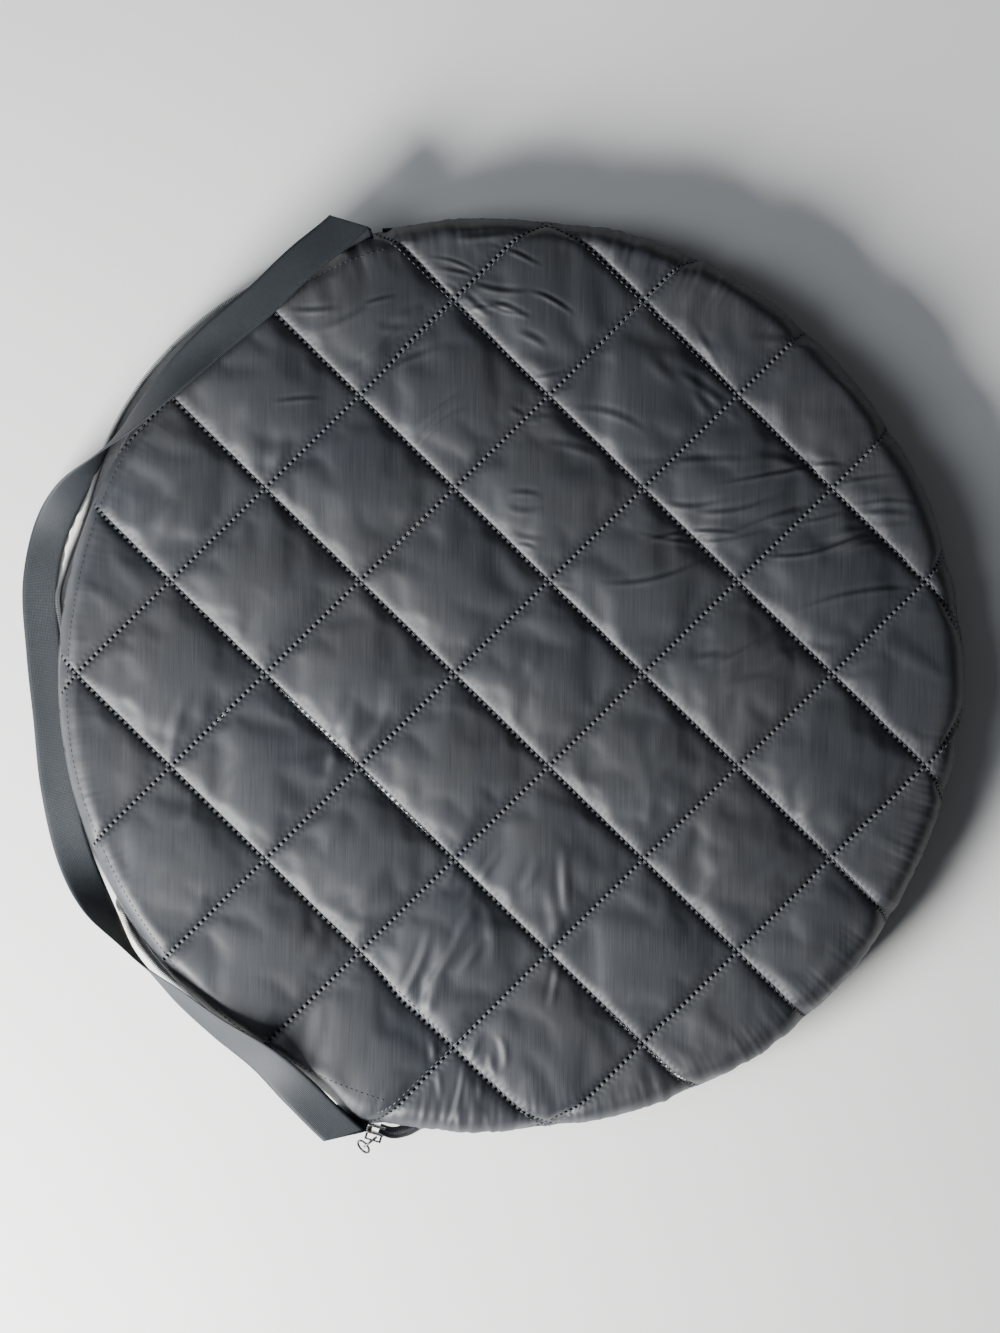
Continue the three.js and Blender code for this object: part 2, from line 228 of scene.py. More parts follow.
def new_mesh(name, points, faces, flat=None):
    mesh = bpy.data.meshes.new(name)
    mesh.from_pydata(np.asarray(points).tolist(), [], [list(map(int, f)) for f in faces])
    if flat is not None:
        loops = np.zeros(len(mesh.loops), int)
        mesh.loops.foreach_get("vertex_index", loops)
        layer = mesh.uv_layers.new(name="Flat")
        layer.data.foreach_set("uv", np.asarray(flat)[loops].astype(np.float32).ravel())
    smooth_faces(mesh)
    obj = bpy.data.objects.new(name, mesh)
    bpy.context.scene.collection.objects.link(obj)
    return obj


def smooth_faces(mesh):
    mesh.polygons.foreach_set("use_smooth", np.ones(len(mesh.polygons), bool))


def vertex_points(obj):
    co = np.zeros(len(obj.data.vertices) * 3)
    obj.data.vertices.foreach_get("co", co)
    return co.reshape(-1, 3)


def vertex_normals(obj):
    normals = np.zeros(len(obj.data.vertices) * 3)
    obj.data.vertex_normals.foreach_get("vector", normals)
    return normals.reshape(-1, 3)


def set_points(obj, points):
    obj.data.vertices.foreach_set("co", np.asarray(points, np.float32).ravel())
    obj.data.update()


def vertex_flat(obj):
    """Each vertex's place on the flat cloth."""
    loops = np.zeros(len(obj.data.loops), int)
    obj.data.loops.foreach_get("vertex_index", loops)
    uv = np.zeros(len(loops) * 2)
    obj.data.uv_layers["Flat"].data.foreach_get("uv", uv)
    flat = np.zeros((len(obj.data.vertices), 2))
    flat[loops] = uv.reshape(-1, 2)
    return flat


def bake_modifiers(obj):
    """Replaces the mesh by what its modifiers make of it."""
    graph = bpy.context.evaluated_depsgraph_get()
    made = bpy.data.meshes.new_from_object(obj.evaluated_get(graph))
    obj.modifiers.clear()
    obj.data = made
    return obj


def subdivided(obj, levels):
    modifier = obj.modifiers.new("Subdivision", "SUBSURF")
    modifier.levels = levels
    modifier.uv_smooth = "NONE"
    return bake_modifiers(obj)


# --- panels ---------------------------------------------------------------------------------


def sheet_grid(per_unit):
    """Flat cells along the quilting, cut to the panel's outline: points, faces and the edge's loop."""
    reach = int(math.ceil(0.75 * 2 * SHEET_R / LINE_APART)) * per_unit
    steps = np.arange(-reach, reach + 1)
    count = len(steps)
    i, j = np.meshgrid(steps, steps, indexing="ij")
    flat = unlattice(i.ravel() / per_unit, j.ravel() / per_unit)
    index = np.arange(count * count).reshape(count, count)
    cells = np.stack([index[:-1, :-1], index[1:, :-1], index[1:, 1:], index[:-1, 1:]], -1).reshape(-1, 4)
    middle = flat[cells].mean(1)
    cells = cells[past_edge(middle) < 0]
    used = np.unique(cells)
    renumber = np.full(count * count, -1)
    renumber[used] = np.arange(len(used))
    flat, cells = flat[used], renumber[cells]
    loop = edge_loop(cells)
    relax_edge(flat, cells, loop, LINE_APART / per_unit)
    return flat, cells, loop


def edge_loop(cells):
    """The outline's vertices in order round the panel, along the faces' own direction."""
    sides = np.concatenate([cells[:, [k, (k + 1) % 4]] for k in range(4)])
    there = {(a, b) for a, b in sides.tolist()}
    following = {a: b for a, b in there if (b, a) not in there}
    start = min(following)
    loop = [start]
    while following[loop[-1]] != start:
        loop.append(following[loop[-1]])
    return np.array(loop)


def relax_edge(flat, cells, loop, cell):
    """Moves the outline's stepped vertices onto its curve and evens out the cells beside it."""

    def snap():
        _, angle = polar(flat[loop])
        flat[loop] = circle(angle) * sheet_edge(angle)[:, None]

    near = past_edge(flat) > -2.5 * cell
    for _ in range(12):
        snap()
        total = np.zeros_like(flat)
        seen = np.zeros(len(flat))
        for k in range(4):
            for other in ((k + 1) % 4, (k + 3) % 4):
                np.add.at(total, cells[:, k], flat[cells[:, other]])
                np.add.at(seen, cells[:, k], 1)
        flat[near] = lerp(flat[near], total[near] / seen[near, None], 0.5)
    snap()


def hem(flat, points, cells, loop, side):
    """Turns the panel's edge in: round the mouth under the panel, and elsewhere along the seam."""
    _, angle = polar(points[loop])
    opened = openness(angle)
    outward = np.column_stack([circle(angle), np.zeros(len(angle))])
    up = np.array([0, 0, side])
    # Out and up from the edge in mm, at each turn of the hem
    mouth_turns = [(0.2, -1.1), (-1.2, -2.1), (-5.0, -2.3), (-11.0, -2.2)]
    seam_turns = [(-0.4, -0.1), (-1.6, -0.12), (-4.0, -0.12), (-8.0, -0.12)]
    ring = loop
    for mouth, seam in zip(mouth_turns, seam_turns):
        out, down = (lerp(s, m, opened)[:, None] * MM for s, m in zip(seam, mouth))
        made = points[loop] + outward * out + up * down
        start = len(points)
        points = np.concatenate([points, made])
        shrink = 1 + (abs(mouth[0]) + 2) * MM / SHEET_R
        flat = np.concatenate([flat, flat[loop] * shrink])
        fresh = start + np.arange(len(loop))
        cells = np.concatenate([
            cells, np.stack([np.roll(ring, -1), ring, fresh, np.roll(fresh, -1)], 1)])
        ring = fresh
    return flat, points, cells


def facing(cells, side):
    """The faces turned to look outwards."""
    return cells if side > 0 else cells[:, ::-1]


# --- the nylon cover ------------------------------------------------------------------------

FRAMES = 16                    # how long the cloth is blown out for
SLACK = -0.006                 # the cloth is cut this much fuller than the panel
PUFF = 0.9                     # pressure behind the cloth
CAP = 4 * MM                   # the cloth moves less than this
DOME = 0.7 * MM                # extra height in the middle of each of the front's diamonds
SINK = 0.4 * MM                # the wadding lets the cloth move inwards by no more than this


def inflate(obj, loop_count):
    """Blows the sewn cloth out against its stitches, so that it puckers as slack nylon does."""
    start = vertex_points(obj)
    outward = vertex_normals(obj)
    flat = vertex_flat(obj)
    nearest = np.minimum(*line_distances(flat))
    held = obj.vertex_groups.new(name="sewn")
    sewn = np.flatnonzero(nearest < 0.2 * MM)
    edge = np.arange(loop_count)
    held.add([int(v) for v in np.union1d(sewn, edge)], 1.0, "REPLACE")
    slack = wave_noise(flat, 38 * MM, SEED)[:, None] * outward
    free = smoothstep(nearest, 0, 12 * MM)[:, None]
    set_points(obj, start + slack * free * 0.4 * MM)
    cloth = obj.modifiers.new("Cloth", "CLOTH")
    settings = cloth.settings
    settings.quality = 6
    settings.mass = 0.15
    settings.tension_stiffness = settings.compression_stiffness = 40
    settings.shear_stiffness = 20
    settings.bending_stiffness = 0.6
    settings.vertex_group_mass = "sewn"
    settings.pin_stiffness = 1
    settings.shrink_min = SLACK
    settings.use_pressure = True
    settings.uniform_pressure_force = PUFF
    settings.effector_weights.gravity = 0
    cloth.collision_settings.use_collision = False
    cloth.collision_settings.use_self_collision = False
    cloth.point_cache.frame_start = 1
    cloth.point_cache.frame_end = FRAMES
    for number in range(1, FRAMES + 1):
        bpy.context.scene.frame_set(number)
    bake_modifiers(obj)
    bpy.context.scene.frame_set(1)
    move = vertex_points(obj) - start
    rise = (move * outward).sum(1, keepdims=True)
    move += outward * (np.maximum(rise, -SINK) - rise)
    length = np.linalg.norm(move, axis=1)
    cap = CAP * np.tanh(length / CAP)
    set_points(obj, start + move * (cap / np.maximum(length, 1e-9))[:, None])
    obj.vertex_groups.clear()
    return obj


def creases(flat, centre, spread, lean, lean_spread, count, length, width, height, seed):
    """Creases: ridges with a hollow beside each, fading at their ends. Width and height are in mm."""
    rng = np.random.default_rng(seed)
    total = np.zeros(len(flat))
    for _ in range(count):
        middle = np.array(centre) + rng.uniform(-1, 1, 2) * spread
        turn = math.radians(lean + rng.uniform(-1, 1) * lean_spread)
        size = length * rng.uniform(0.55, 1.3)
        wide = width * MM * rng.uniform(0.7, 1.4)
        tall = height * MM * rng.uniform(0.5, 1.1)
        along = (flat - middle) @ np.array([math.cos(turn), math.sin(turn)])
        across = (flat - middle) @ np.array([-math.sin(turn), math.cos(turn)])
        bow = rng.uniform(-0.12, 0.12) / size
        across = across - bow * along ** 2 * 4
        fade = np.clip(1 - (2 * along / size) ** 2, 0, 1) ** 1.5
        ridge = np.exp(-(across / wide) ** 2) - 0.6 * np.exp(-((across - 1.7 * wide) / wide) ** 2)
        total += tall * ridge * fade
    return total


def panel_creases(flat):
    """Where the front is creased: fine ones to the right and along the top, broad soft ones elsewhere."""
    # Centre, spread, lean and its spread in degrees, how many, length, and width and height in mm
    groups = [
        ((0.185, 0.105), (0.085, 0.050), 9, 7, 18, 0.085, 2.0, 0.95),
        ((0.180, 0.020), (0.060, 0.030), 20, 25, 7, 0.050, 3.5, 0.8),
        ((-0.045, 0.275), (0.050, 0.026), -12, 20, 12, 0.040, 1.6, 0.8),
        ((0.020, 0.215), (0.014, 0.050), -10, 25, 7, 0.034, 1.8, 0.8),
        ((0.022, 0.090), (0.016, 0.040), -8, 20, 5, 0.030, 2.0, 0.6),
        ((-0.030, -0.285), (0.030, 0.030), 78, 25, 10, 0.045, 1.9, 0.9),
        ((-0.170, -0.100), (0.070, 0.070), 55, 28, 12, 0.070, 5.0, 0.9),
        ((-0.090, -0.200), (0.060, 0.040), 62, 25, 9, 0.060, 4.0, 0.9),
        ((0.000, -0.170), (0.040, 0.050), 70, 30, 8, 0.055, 3.5, 1.0),
        ((-0.215, 0.095), (0.060, 0.060), 65, 25, 9, 0.070, 5.5, 0.8),
        ((-0.090, 0.215), (0.060, 0.045), 35, 35, 10, 0.050, 2.4, 0.8),
        ((0.120, 0.190), (0.080, 0.045), -30, 30, 9, 0.055, 3.0, 0.8),
        ((0.040, -0.060), (0.150, 0.080), 80, 30, 12, 0.060, 5.0, 0.5),
        ((0.170, -0.140), (0.080, 0.080), 60, 35, 10, 0.060, 4.5, 0.6),
    ]
    total = np.zeros(len(flat))
    for seed, group in enumerate(groups, SEED):
        total += creases(flat, *group, seed)
    return total


def rim_puckers(flat, seed):
    """Short gathers where the cloth rolls over to the seam."""
    s, angle = polar(flat)
    near = smoothstep(s, SHEET_R - 55 * MM, SHEET_R - 12 * MM)
    near = near * (1 - 0.6 * smoothstep(s, SHEET_R - 10 * MM, SHEET_R))
    ring = circle(angle)
    gathers = 0.55 * wave_noise(ring, 0.055, seed) + 0.45 * wave_noise(ring, 0.022, seed + 1)
    strength = 0.55 + 0.45 * wave_noise(ring, 0.7, seed + 2)
    return near * gathers * strength * (1.4 - openness(angle)) * MM


def stitch_dents(flat):
    """How deep the stitches draw the cloth in, most at the needle holes, less the low lip beside them."""
    depth = np.zeros(len(flat))
    for d, along in zip(line_distances(flat), lattice(flat)[::-1]):
        beat = 0.5 + 0.5 * np.cos(2 * math.pi * along * STITCHES)
        depth += (0.25 + 0.75 * beat) * np.exp(-(d / (1.5 * MM)) ** 2)
        depth -= 0.4 * beat * np.exp(-((d - 3.0 * MM) / (1.6 * MM)) ** 2)
    return 0.8 * MM * np.minimum(depth, 1.0)


def quilted_panel(name, side, levels, simulate):
    """One face of the case: nylon sewn down, hemmed at the mouth and turned in at the seam."""
    flat, cells, loop = sheet_grid(STITCHES)
    order = np.concatenate([loop, np.setdiff1d(np.arange(len(flat)), loop)])
    place = np.argsort(order)
    flat, cells = flat[order], place[cells]
    edge = np.arange(len(loop))
    swell = 0.94 if side > 0 else 1.0
    base = new_mesh(name, panel_points(flat, side, swell=swell), facing(cells, side), flat)
    if simulate:
        inflate(base, len(loop))
    points = vertex_points(base)
    flat, points, cells = hem(flat, points, cells, edge, side)
    bpy.data.objects.remove(base)
    panel = subdivided(new_mesh(name, points, facing(cells, side), flat), levels)
    flat = vertex_flat(panel)
    outer = 1 - smoothstep(past_edge(flat), 0, 2 * MM)
    soft = smoothstep(np.minimum(*line_distances(flat)), 0.5 * MM, 9 * MM)
    slopes = [np.clip(2 * d / LINE_APART, 0, 1) for d in line_distances(flat)]
    dome = np.prod([1 - (1 - slope) ** 2 for slope in slopes], axis=0)
    rise = (DOME / MM if side > 0 else 0) * dome + 0.5 * wave_noise(flat, 0.25, SEED + 40 + side)
    lift = (0.5 + rise) * edge_fade(flat) * MM
    lift = np.maximum(lift, -0.2 * MM) + rim_puckers(flat, SEED + 50 + side)
    fine = wave_noise(flat, 0.05, SEED + 63 + side) * 0.2 * MM
    if side > 0:
        fine += panel_creases(flat)
    else:
        fine += creases(flat, (0, 0), (0.22, 0.22), 20, 90, 60, 0.06, 3.5, 0.9, SEED + 70)
    lift += fine * soft * edge_fade(flat)
    lift -= stitch_dents(flat) * smoothstep(edge_fade(flat), 0, 0.4)
    points = vertex_points(panel) + vertex_normals(panel) * (lift * outer)[:, None]
    if side < 0:
        points[:, 2] = settled(points[:, 2])
    set_points(panel, points)
    return panel


def settled(height):
    """Heights pressed flat on the floor, which the softest parts of the pillows rest on."""
    rest, soft = 0.5 * MM, 1.2 * MM
    low = height < rest + soft
    under = np.minimum(height, rest + soft) - rest - soft
    return np.where(low, rest + soft * np.exp(under / soft), height)


# --- materials ------------------------------------------------------------------------------


def new_material(name, colour, roughness, metallic=0.0):
    """A Principled material, its shader, and functions that add a node and wire an output to the shader."""
    material = bpy.data.materials.new(name)
    material.use_nodes = True
    tree = material.node_tree
    shader = tree.nodes["Principled BSDF"]
    shader.inputs["Base Color"].default_value = (*colour, 1)
    shader.inputs["Roughness"].default_value = roughness
    shader.inputs["Metallic"].default_value = metallic

    def node(kind, values=None, **settings):
        made = tree.nodes.new(kind)
        for key, value in settings.items():
            setattr(made, key, value)
        for key, value in (values or {}).items():
            if isinstance(value, bpy.types.NodeSocket):
                tree.links.new(value, made.inputs[key])
            else:
                made.inputs[key].default_value = value
        return made

    def wire(output, key):
        tree.links.new(output, shader.inputs[key])

    return material, shader, node, wire


def noise_at(node, place, scale, detail=3.0, roughness=0.55):
    vector = node("ShaderNodeMapping", {"Vector": place, "Scale": scale}).outputs["Vector"]
    values = {"Vector": vector, "Scale": 1.0, "Detail": detail, "Roughness": roughness}
    return node("ShaderNodeTexNoise", values).outputs["Fac"]


def ramp(node, factor, *stops):
    """A colour ramp of (place, colour) stops."""
    made = node("ShaderNodeValToRGB", {"Fac": factor})
    points = made.color_ramp.elements
    while len(points) < len(stops):
        points.new(0.5)
    for point, (place, colour) in zip(points, stops):
        point.position = place
        point.color = (*colour, 1)
    return made.outputs["Color"]


def spread(node, factor, low, high, out_low, out_high):
    values = {"Value": factor, "From Min": low, "From Max": high, "To Min": out_low, "To Max": out_high}
    return node("ShaderNodeMapRange", values).outputs["Result"]


def maths(node, operation, a, b):
    made = node("ShaderNodeMath", operation=operation)
    for k, value in enumerate((a, b)):
        if isinstance(value, bpy.types.NodeSocket):
            made.id_data.links.new(value, made.inputs[k])
        else:
            made.inputs[k].default_value = value
    return made.outputs["Value"]


def times(node, a, b):
    return maths(node, "MULTIPLY", a, b)


def blended(node, a, b, factor=0.5, mode="MIX"):
    """Two colours mixed, or multiplied in the mode MULTIPLY."""
    made = node("ShaderNodeMix", data_type="RGBA", blend_type=mode)
    for key, value in (("Factor", factor), ("A", a), ("B", b)):
        target = next(s for s in made.inputs if s.name == key and s.enabled)
        if isinstance(value, bpy.types.NodeSocket):
            made.id_data.links.new(value, target)
        else:
            target.default_value = value if isinstance(value, float) else (*value, 1)
    return next(s for s in made.outputs if s.enabled)


def bumped(node, wire, height, strength, distance):
    values = {"Height": height, "Strength": strength, "Distance": distance}
    wire(node("ShaderNodeBump", values).outputs["Normal"], "Normal")


def cloth_place(node):
    return node("ShaderNodeUVMap", uv_map="Flat").outputs["UV"]


def object_place(node):
    return node("ShaderNodeTexCoord").outputs["Object"]


WAVE_LONG = 0.314159           # a wave texture's wavelength at scale 1


def averaged(node, a, b, part=0.5):
    """An average of two values, of which the first counts for a part."""
    return maths(node, "ADD", times(node, a, part), times(node, b, 1 - part))


def ridges(node, place, axis, pitch):
    values = {"Vector": place, "Scale": WAVE_LONG / pitch, "Distortion": 0.0}
    return node("ShaderNodeTexWave", values, bands_direction=axis, wave_profile="SIN").outputs["Fac"]


def threads(node, place, pitch_x, pitch_y):
    """A plain weave: threads crossing at these pitches, as a height from 0 to 1."""
    return times(node, ridges(node, place, "X", pitch_x), ridges(node, place, "Y", pitch_y))


def sewn_marks(node, place):
    """Two masks along the quilting lines: the needle holes, and the cloth gathered between them; the nylon
    paints shade into the first and a highlight onto the second.
    """
    split = node("ShaderNodeSeparateXYZ", {"Vector": place})
    p, q = (maths(node, "DIVIDE", maths(node, "SUBTRACT", split.outputs[k], float(QUILT_CENTRE[k])),
                  float(QUILT_HALF[k])) for k in (0, 1))
    a = times(node, maths(node, "SUBTRACT", p, q), 0.5)
    b = times(node, maths(node, "ADD", p, q), 0.5)
    pitch = LINE_APART / STITCHES
    masks = []
    for shift, across, along in ((0.0, 1.15 * MM, 1.0 * MM), (0.5, 1.5 * MM, 1.3 * MM)):
        rows = []
        for line, run in ((a, b), (b, a)):
            off = times(node, maths(node, "PINGPONG", line, 0.5), LINE_APART / across)
            beat = maths(node, "ADD", times(node, run, float(STITCHES)), shift)
            step = times(node, maths(node, "PINGPONG", beat, 0.5), pitch / along)
            far = maths(node, "ADD", times(node, off, off), times(node, step, step))
            mask = spread(node, far, 0.45, 1.5, 1.0, 0.0)
            if line is b:
                mask = times(node, mask, maths(node, "GREATER_THAN", b, LAST_LINE - 0.5))
            rows.append(mask)
        masks.append(maths(node, "MAXIMUM", rows[0], rows[1]))
    return masks


def quilted_nylon():
    """Satin black-blue nylon: fine upright warp streaks, faint rubbed patches, painted shade in the needle
    holes and a painted highlight on the cloth gathered between them.
    """
    material, shader, node, wire = new_material("quilted_nylon", (0.03, 0.034, 0.04), 0.42)
    place = cloth_place(node)
    fine = noise_at(node, place, (1500, 30, 1), 2.0)
    broad = noise_at(node, place, (380, 9, 1), 2.0)
    patches = noise_at(node, place, (9, 9, 1), 4.0)
    streaks = averaged(node, fine, broad, 0.7)
    holes_and_shade, beads_and_highlight = sewn_marks(node, place)
    cloth = ramp(node, streaks, (0.3, (0.017, 0.019, 0.0235)), (0.5, (0.0245, 0.0265, 0.031)),
                 (0.72, (0.034, 0.0355, 0.040)))
    # Painted highlight: the cloth gathered between the needle holes is made paler.
    cloth = blended(node, cloth, (0.075, 0.081, 0.09), times(node, beads_and_highlight, 0.6))
    # Painted shade: the needle holes are made nearly black.
    cloth = blended(node, cloth, (0.0008, 0.0008, 0.001), holes_and_shade)
    tint = ramp(node, patches, (0.35, (0.84, 0.91, 1.0)), (0.65, (1.0, 1.0, 0.98)))
    wire(blended(node, cloth, tint, 1.0, "MULTIPLY"), "Base Color")
    rough = spread(node, averaged(node, patches, fine), 0.3, 0.7, 0.48, 0.60)
    wire(maths(node, "ADD", rough, times(node, holes_and_shade, 0.4)), "Roughness")
    wire(spread(node, holes_and_shade, 0.0, 1.0, 0.5, 0.0), "Specular IOR Level")
    shader.inputs["Sheen Weight"].default_value = 0.05
    shader.inputs["Sheen Roughness"].default_value = 0.35
    shader.inputs["Sheen Tint"].default_value = (0.75, 0.85, 1.0, 1)
    weave = threads(node, place, 0.55 * MM, 0.8 * MM)
    grain = maths(node, "ADD", times(node, weave, 0.035), times(node, fine, 0.065))
    height = maths(node, "ADD", grain, maths(node, "SUBTRACT", times(node, beads_and_highlight, 0.5), holes_and_shade))
    bumped(node, wire, height, 0.6, 0.9 * MM)
    return material


def paint(obj, material):
    """Puts one material on a piece."""
    if not obj.material_slots:
        obj.data.materials.append(material)
    for slot in obj.material_slots:
        slot.link = "OBJECT"
        slot.material = material
    return obj


def wadding_fibre():
    """White polyester wadding: matted fibres."""
    material, shader, node, wire = new_material("wadding", (0.8, 0.8, 0.78), 0.95)
    place = object_place(node)
    mat = noise_at(node, place, (420, 420, 420), 5.0, 0.7)
    wire(ramp(node, mat, (0.3, (0.66, 0.66, 0.64)), (0.7, (0.88, 0.88, 0.86))), "Base Color")
    shader.inputs["Sheen Weight"].default_value = 0.3
    bumped(node, wire, mat, 0.8, 0.6 * MM)
    return material


def lining_cloth():
    """Ivory lining: a plain weave with slubs, soiled a little."""
    material, _, node, wire = new_material("lining", (0.8, 0.78, 0.7), 0.75)
    place = cloth_place(node)
    slub = noise_at(node, place, (60, 900, 1), 3.0)
    soil = noise_at(node, place, (14, 14, 1), 4.0)
    mixed = averaged(node, slub, soil)
    wire(ramp(node, mixed, (0.35, (0.74, 0.715, 0.64)), (0.65, (0.86, 0.845, 0.79))), "Base Color")
    weave = threads(node, place, 0.6 * MM, 0.6 * MM)
    bumped(node, wire, maths(node, "ADD", weave, slub), 0.4, 0.15 * MM)
    return material


def ribbed_webbing():
    """Polypropylene webbing: close crosswise ribs of twisted yarn, with painted shade in the grooves between
    them and a painted highlight on their crests.
    """
    material, shader, node, wire = new_material("webbing", (0.02, 0.024, 0.03), 0.62)
    place = cloth_place(node)
    yarn = noise_at(node, place, (1500, 300, 1), 3.0)
    wear = noise_at(node, place, (30, 12, 1), 4.0)
    mixed = averaged(node, yarn, wear, 0.6)
    cloth = ramp(node, mixed, (0.33, (0.012, 0.0155, 0.020)), (0.52, (0.022, 0.027, 0.033)),
                 (0.7, (0.042, 0.047, 0.055)))
    ribs = ridges(node, place, "Y", RIB)
    # Painted shade in the grooves between the ribs and a painted highlight on their crests.
    rib_shade_and_highlight = ramp(node, ribs, (0.1, (0.42, 0.42, 0.44)), (0.75, (1.35, 1.35, 1.35)))
    wire(blended(node, cloth, rib_shade_and_highlight, 1.0, "MULTIPLY"), "Base Color")
    wire(spread(node, yarn, 0.3, 0.7, 0.52, 0.72), "Roughness")
    shader.inputs["Specular IOR Level"].default_value = 0.35
    twist = threads(node, place, 1.1 * MM, RIB)
    bumped(node, wire, maths(node, "ADD", twist, times(node, yarn, 0.6)), 0.6, 0.2 * MM)
    return material


def zip_tape_cloth():
    """Woven polyester tape with small slubs."""
    material, _, node, wire = new_material("zip_tape", (0.02, 0.022, 0.025), 0.7)
    place = cloth_place(node)
    yarn = noise_at(node, place, (1400, 260, 1), 3.0)
    wire(ramp(node, yarn, (0.3, (0.02, 0.023, 0.027)), (0.7, (0.055, 0.06, 0.066))), "Base Color")
    wire(spread(node, yarn, 0.3, 0.7, 0.6, 0.8), "Roughness")
    weave = threads(node, place, 0.9 * MM, 0.5 * MM)
    bumped(node, wire, weave, 0.6, 0.15 * MM)
    return material


def coil_nylon():
    """Extruded nylon wire: dark grey, rubbed paler in patches."""
    material, _, node, wire = new_material("zip_coil", (0.045, 0.05, 0.056), 0.32)
    place = object_place(node)
    rub = noise_at(node, place, (60, 60, 60), 4.0)
    wire(ramp(node, rub, (0.35, (0.06, 0.066, 0.074)), (0.65, (0.15, 0.16, 0.17))), "Base Color")
    wire(spread(node, rub, 0.3, 0.7, 0.22, 0.42), "Roughness")
    bumped(node, wire, noise_at(node, place, (900, 900, 900), 2.0), 0.2, 0.05 * MM)
    return material


def sewing_thread(name, colour):
    """Bonded polyester thread, mottled by its plies."""
    material, _, node, wire = new_material(name, colour, 0.5)
    place = object_place(node)
    ply = noise_at(node, place, (1600, 1600, 1600), 2.0)
    dark = tuple(0.6 * c for c in colour)
    pale = tuple(1.5 * c for c in colour)
    wire(ramp(node, ply, (0.35, dark), (0.65, pale)), "Base Color")
    bumped(node, wire, ply, 0.5, 0.1 * MM)
    return material


def black_metal():
    """Die-cast zinc under black plating, rubbed to brighter metal on its edges."""
    material, _, node, wire = new_material("black_metal", (0.02, 0.021, 0.023), 0.3, 0.55)
    place = object_place(node)
    rub = noise_at(node, place, (420, 420, 420), 5.0)
    edge = node("ShaderNodeNewGeometry").outputs["Pointiness"]
    worn = maths(node, "ADD", times(node, rub, 0.35), edge)
    wire(ramp(node, worn, (0.68, (0.014, 0.015, 0.017)), (0.80, (0.16, 0.16, 0.165))), "Base Color")
    wire(spread(node, rub, 0.3, 0.7, 0.2, 0.42), "Roughness")
    bumped(node, wire, rub, 0.25, 0.08 * MM)
    return material


def spring_steel():
    """Bright cold-rolled band with lengthways drawing lines and faint oil stains."""
    material, _, node, wire = new_material("spring_steel", (0.56, 0.58, 0.6), 0.3, 1.0)
    place = object_place(node)
    lines = noise_at(node, place, (20, 20, 2600), 3.0)
    stain = noise_at(node, place, (45, 45, 45), 4.0)
    mixed = averaged(node, lines, stain)
    wire(ramp(node, mixed, (0.35, (0.40, 0.42, 0.45)), (0.65, (0.66, 0.67, 0.69))), "Base Color")
    wire(spread(node, mixed, 0.3, 0.7, 0.2, 0.42), "Roughness")
    bumped(node, wire, lines, 0.2, 0.05 * MM)
    return material


def reflector_cloth(name, dark, pale, roughness, metallic, sheen):
    """Close-woven reflector cloth, coated on one face."""
    material, shader, node, wire = new_material(name, pale, roughness, metallic)
    place = cloth_place(node)
    cloud = noise_at(node, place, (25, 25, 1), 4.0)
    grain = noise_at(node, place, (900, 900, 1), 2.0)
    mixed = averaged(node, cloud, grain)
    wire(ramp(node, mixed, (0.35, dark), (0.65, pale)), "Base Color")
    wire(spread(node, mixed, 0.3, 0.7, roughness - 0.08, roughness + 0.1), "Roughness")
    shader.inputs["Sheen Weight"].default_value = sheen
    weave = threads(node, place, 0.45 * MM, 0.45 * MM)
    bumped(node, wire, maths(node, "ADD", weave, grain), 0.35, 0.1 * MM)
    return material


# --- inner layers ---------------------------------------------------------------------------


def slab(name, side, top, bottom, per_unit, trim):
    """A closed layer of a panel, trimmed back from its edge, with its faces from top and bottom."""
    flat, cells, loop = sheet_grid(per_unit)
    flat = flat * (1 - trim / SHEET_R)
    count = len(flat)
    points = np.concatenate([top(flat), bottom(flat)])
    next_loop = np.roll(loop, -1)
    walls = np.stack([loop, loop + count, next_loop + count, next_loop], 1)
    faces = np.concatenate([facing(cells, 1), cells[:, ::-1] + count, walls])
    return new_mesh(name, points, facing(faces, side), np.concatenate([flat, flat]))


# Depths of the layers under the cover's outer face, and how much smaller than the cover they are cut
WADDING_TOP, WADDING_BASE = 2.0 * MM, 7.1 * MM
LINING_TOP, LINING_BASE = 7.5 * MM, 8.0 * MM
WADDING_TRIM = 9 * MM
LINING_TRIM = 4 * MM
COVER_ROOM = 0.9 * MM          # kept free between the cover's skin and the wadding


def wadding(name, side, panel):
    """The filling, kept under the cover wherever the cover is drawn in."""
    tree = skin_tree(panel)

    def under_cover(flat):
        points = panel_points(flat, side, WADDING_TOP, 0.8)
        for k, (x, y, z) in enumerate(points):
            above = tree.ray_cast(Vector((x, y, SEAM_Z + side * 0.2)), Vector((0, 0, -side)))[0]
            if above is not None:
                room = side * (above.z - SEAM_Z) - COVER_ROOM
                points[k, 2] = SEAM_Z + min(side * (z - SEAM_Z), room) * side
        return points

    def inside(flat):
        return panel_points(flat, side, WADDING_BASE, 0.0)

    return slab(name, side, under_cover, inside, 16, WADDING_TRIM)


def lining(name, side):
    """The lining, quilted through with the cover, so it swells a little inwards between the lines."""

    def inner(flat):
        points = panel_points(flat, side, LINING_BASE, 0.0)
        swell = 0.5 * pillow(flat) + 0.25 * wave_noise(flat, 0.03, SEED + 80 + side)
        points[:, 2] -= side * swell * edge_fade(flat) * MM
        return points

    def outer(flat):
        return panel_points(flat, side, LINING_TOP, 0.0)

    return slab(name, side, outer, inner, STITCHES, LINING_TRIM)


# --- paths and sweeps -----------------------------------------------------------------------


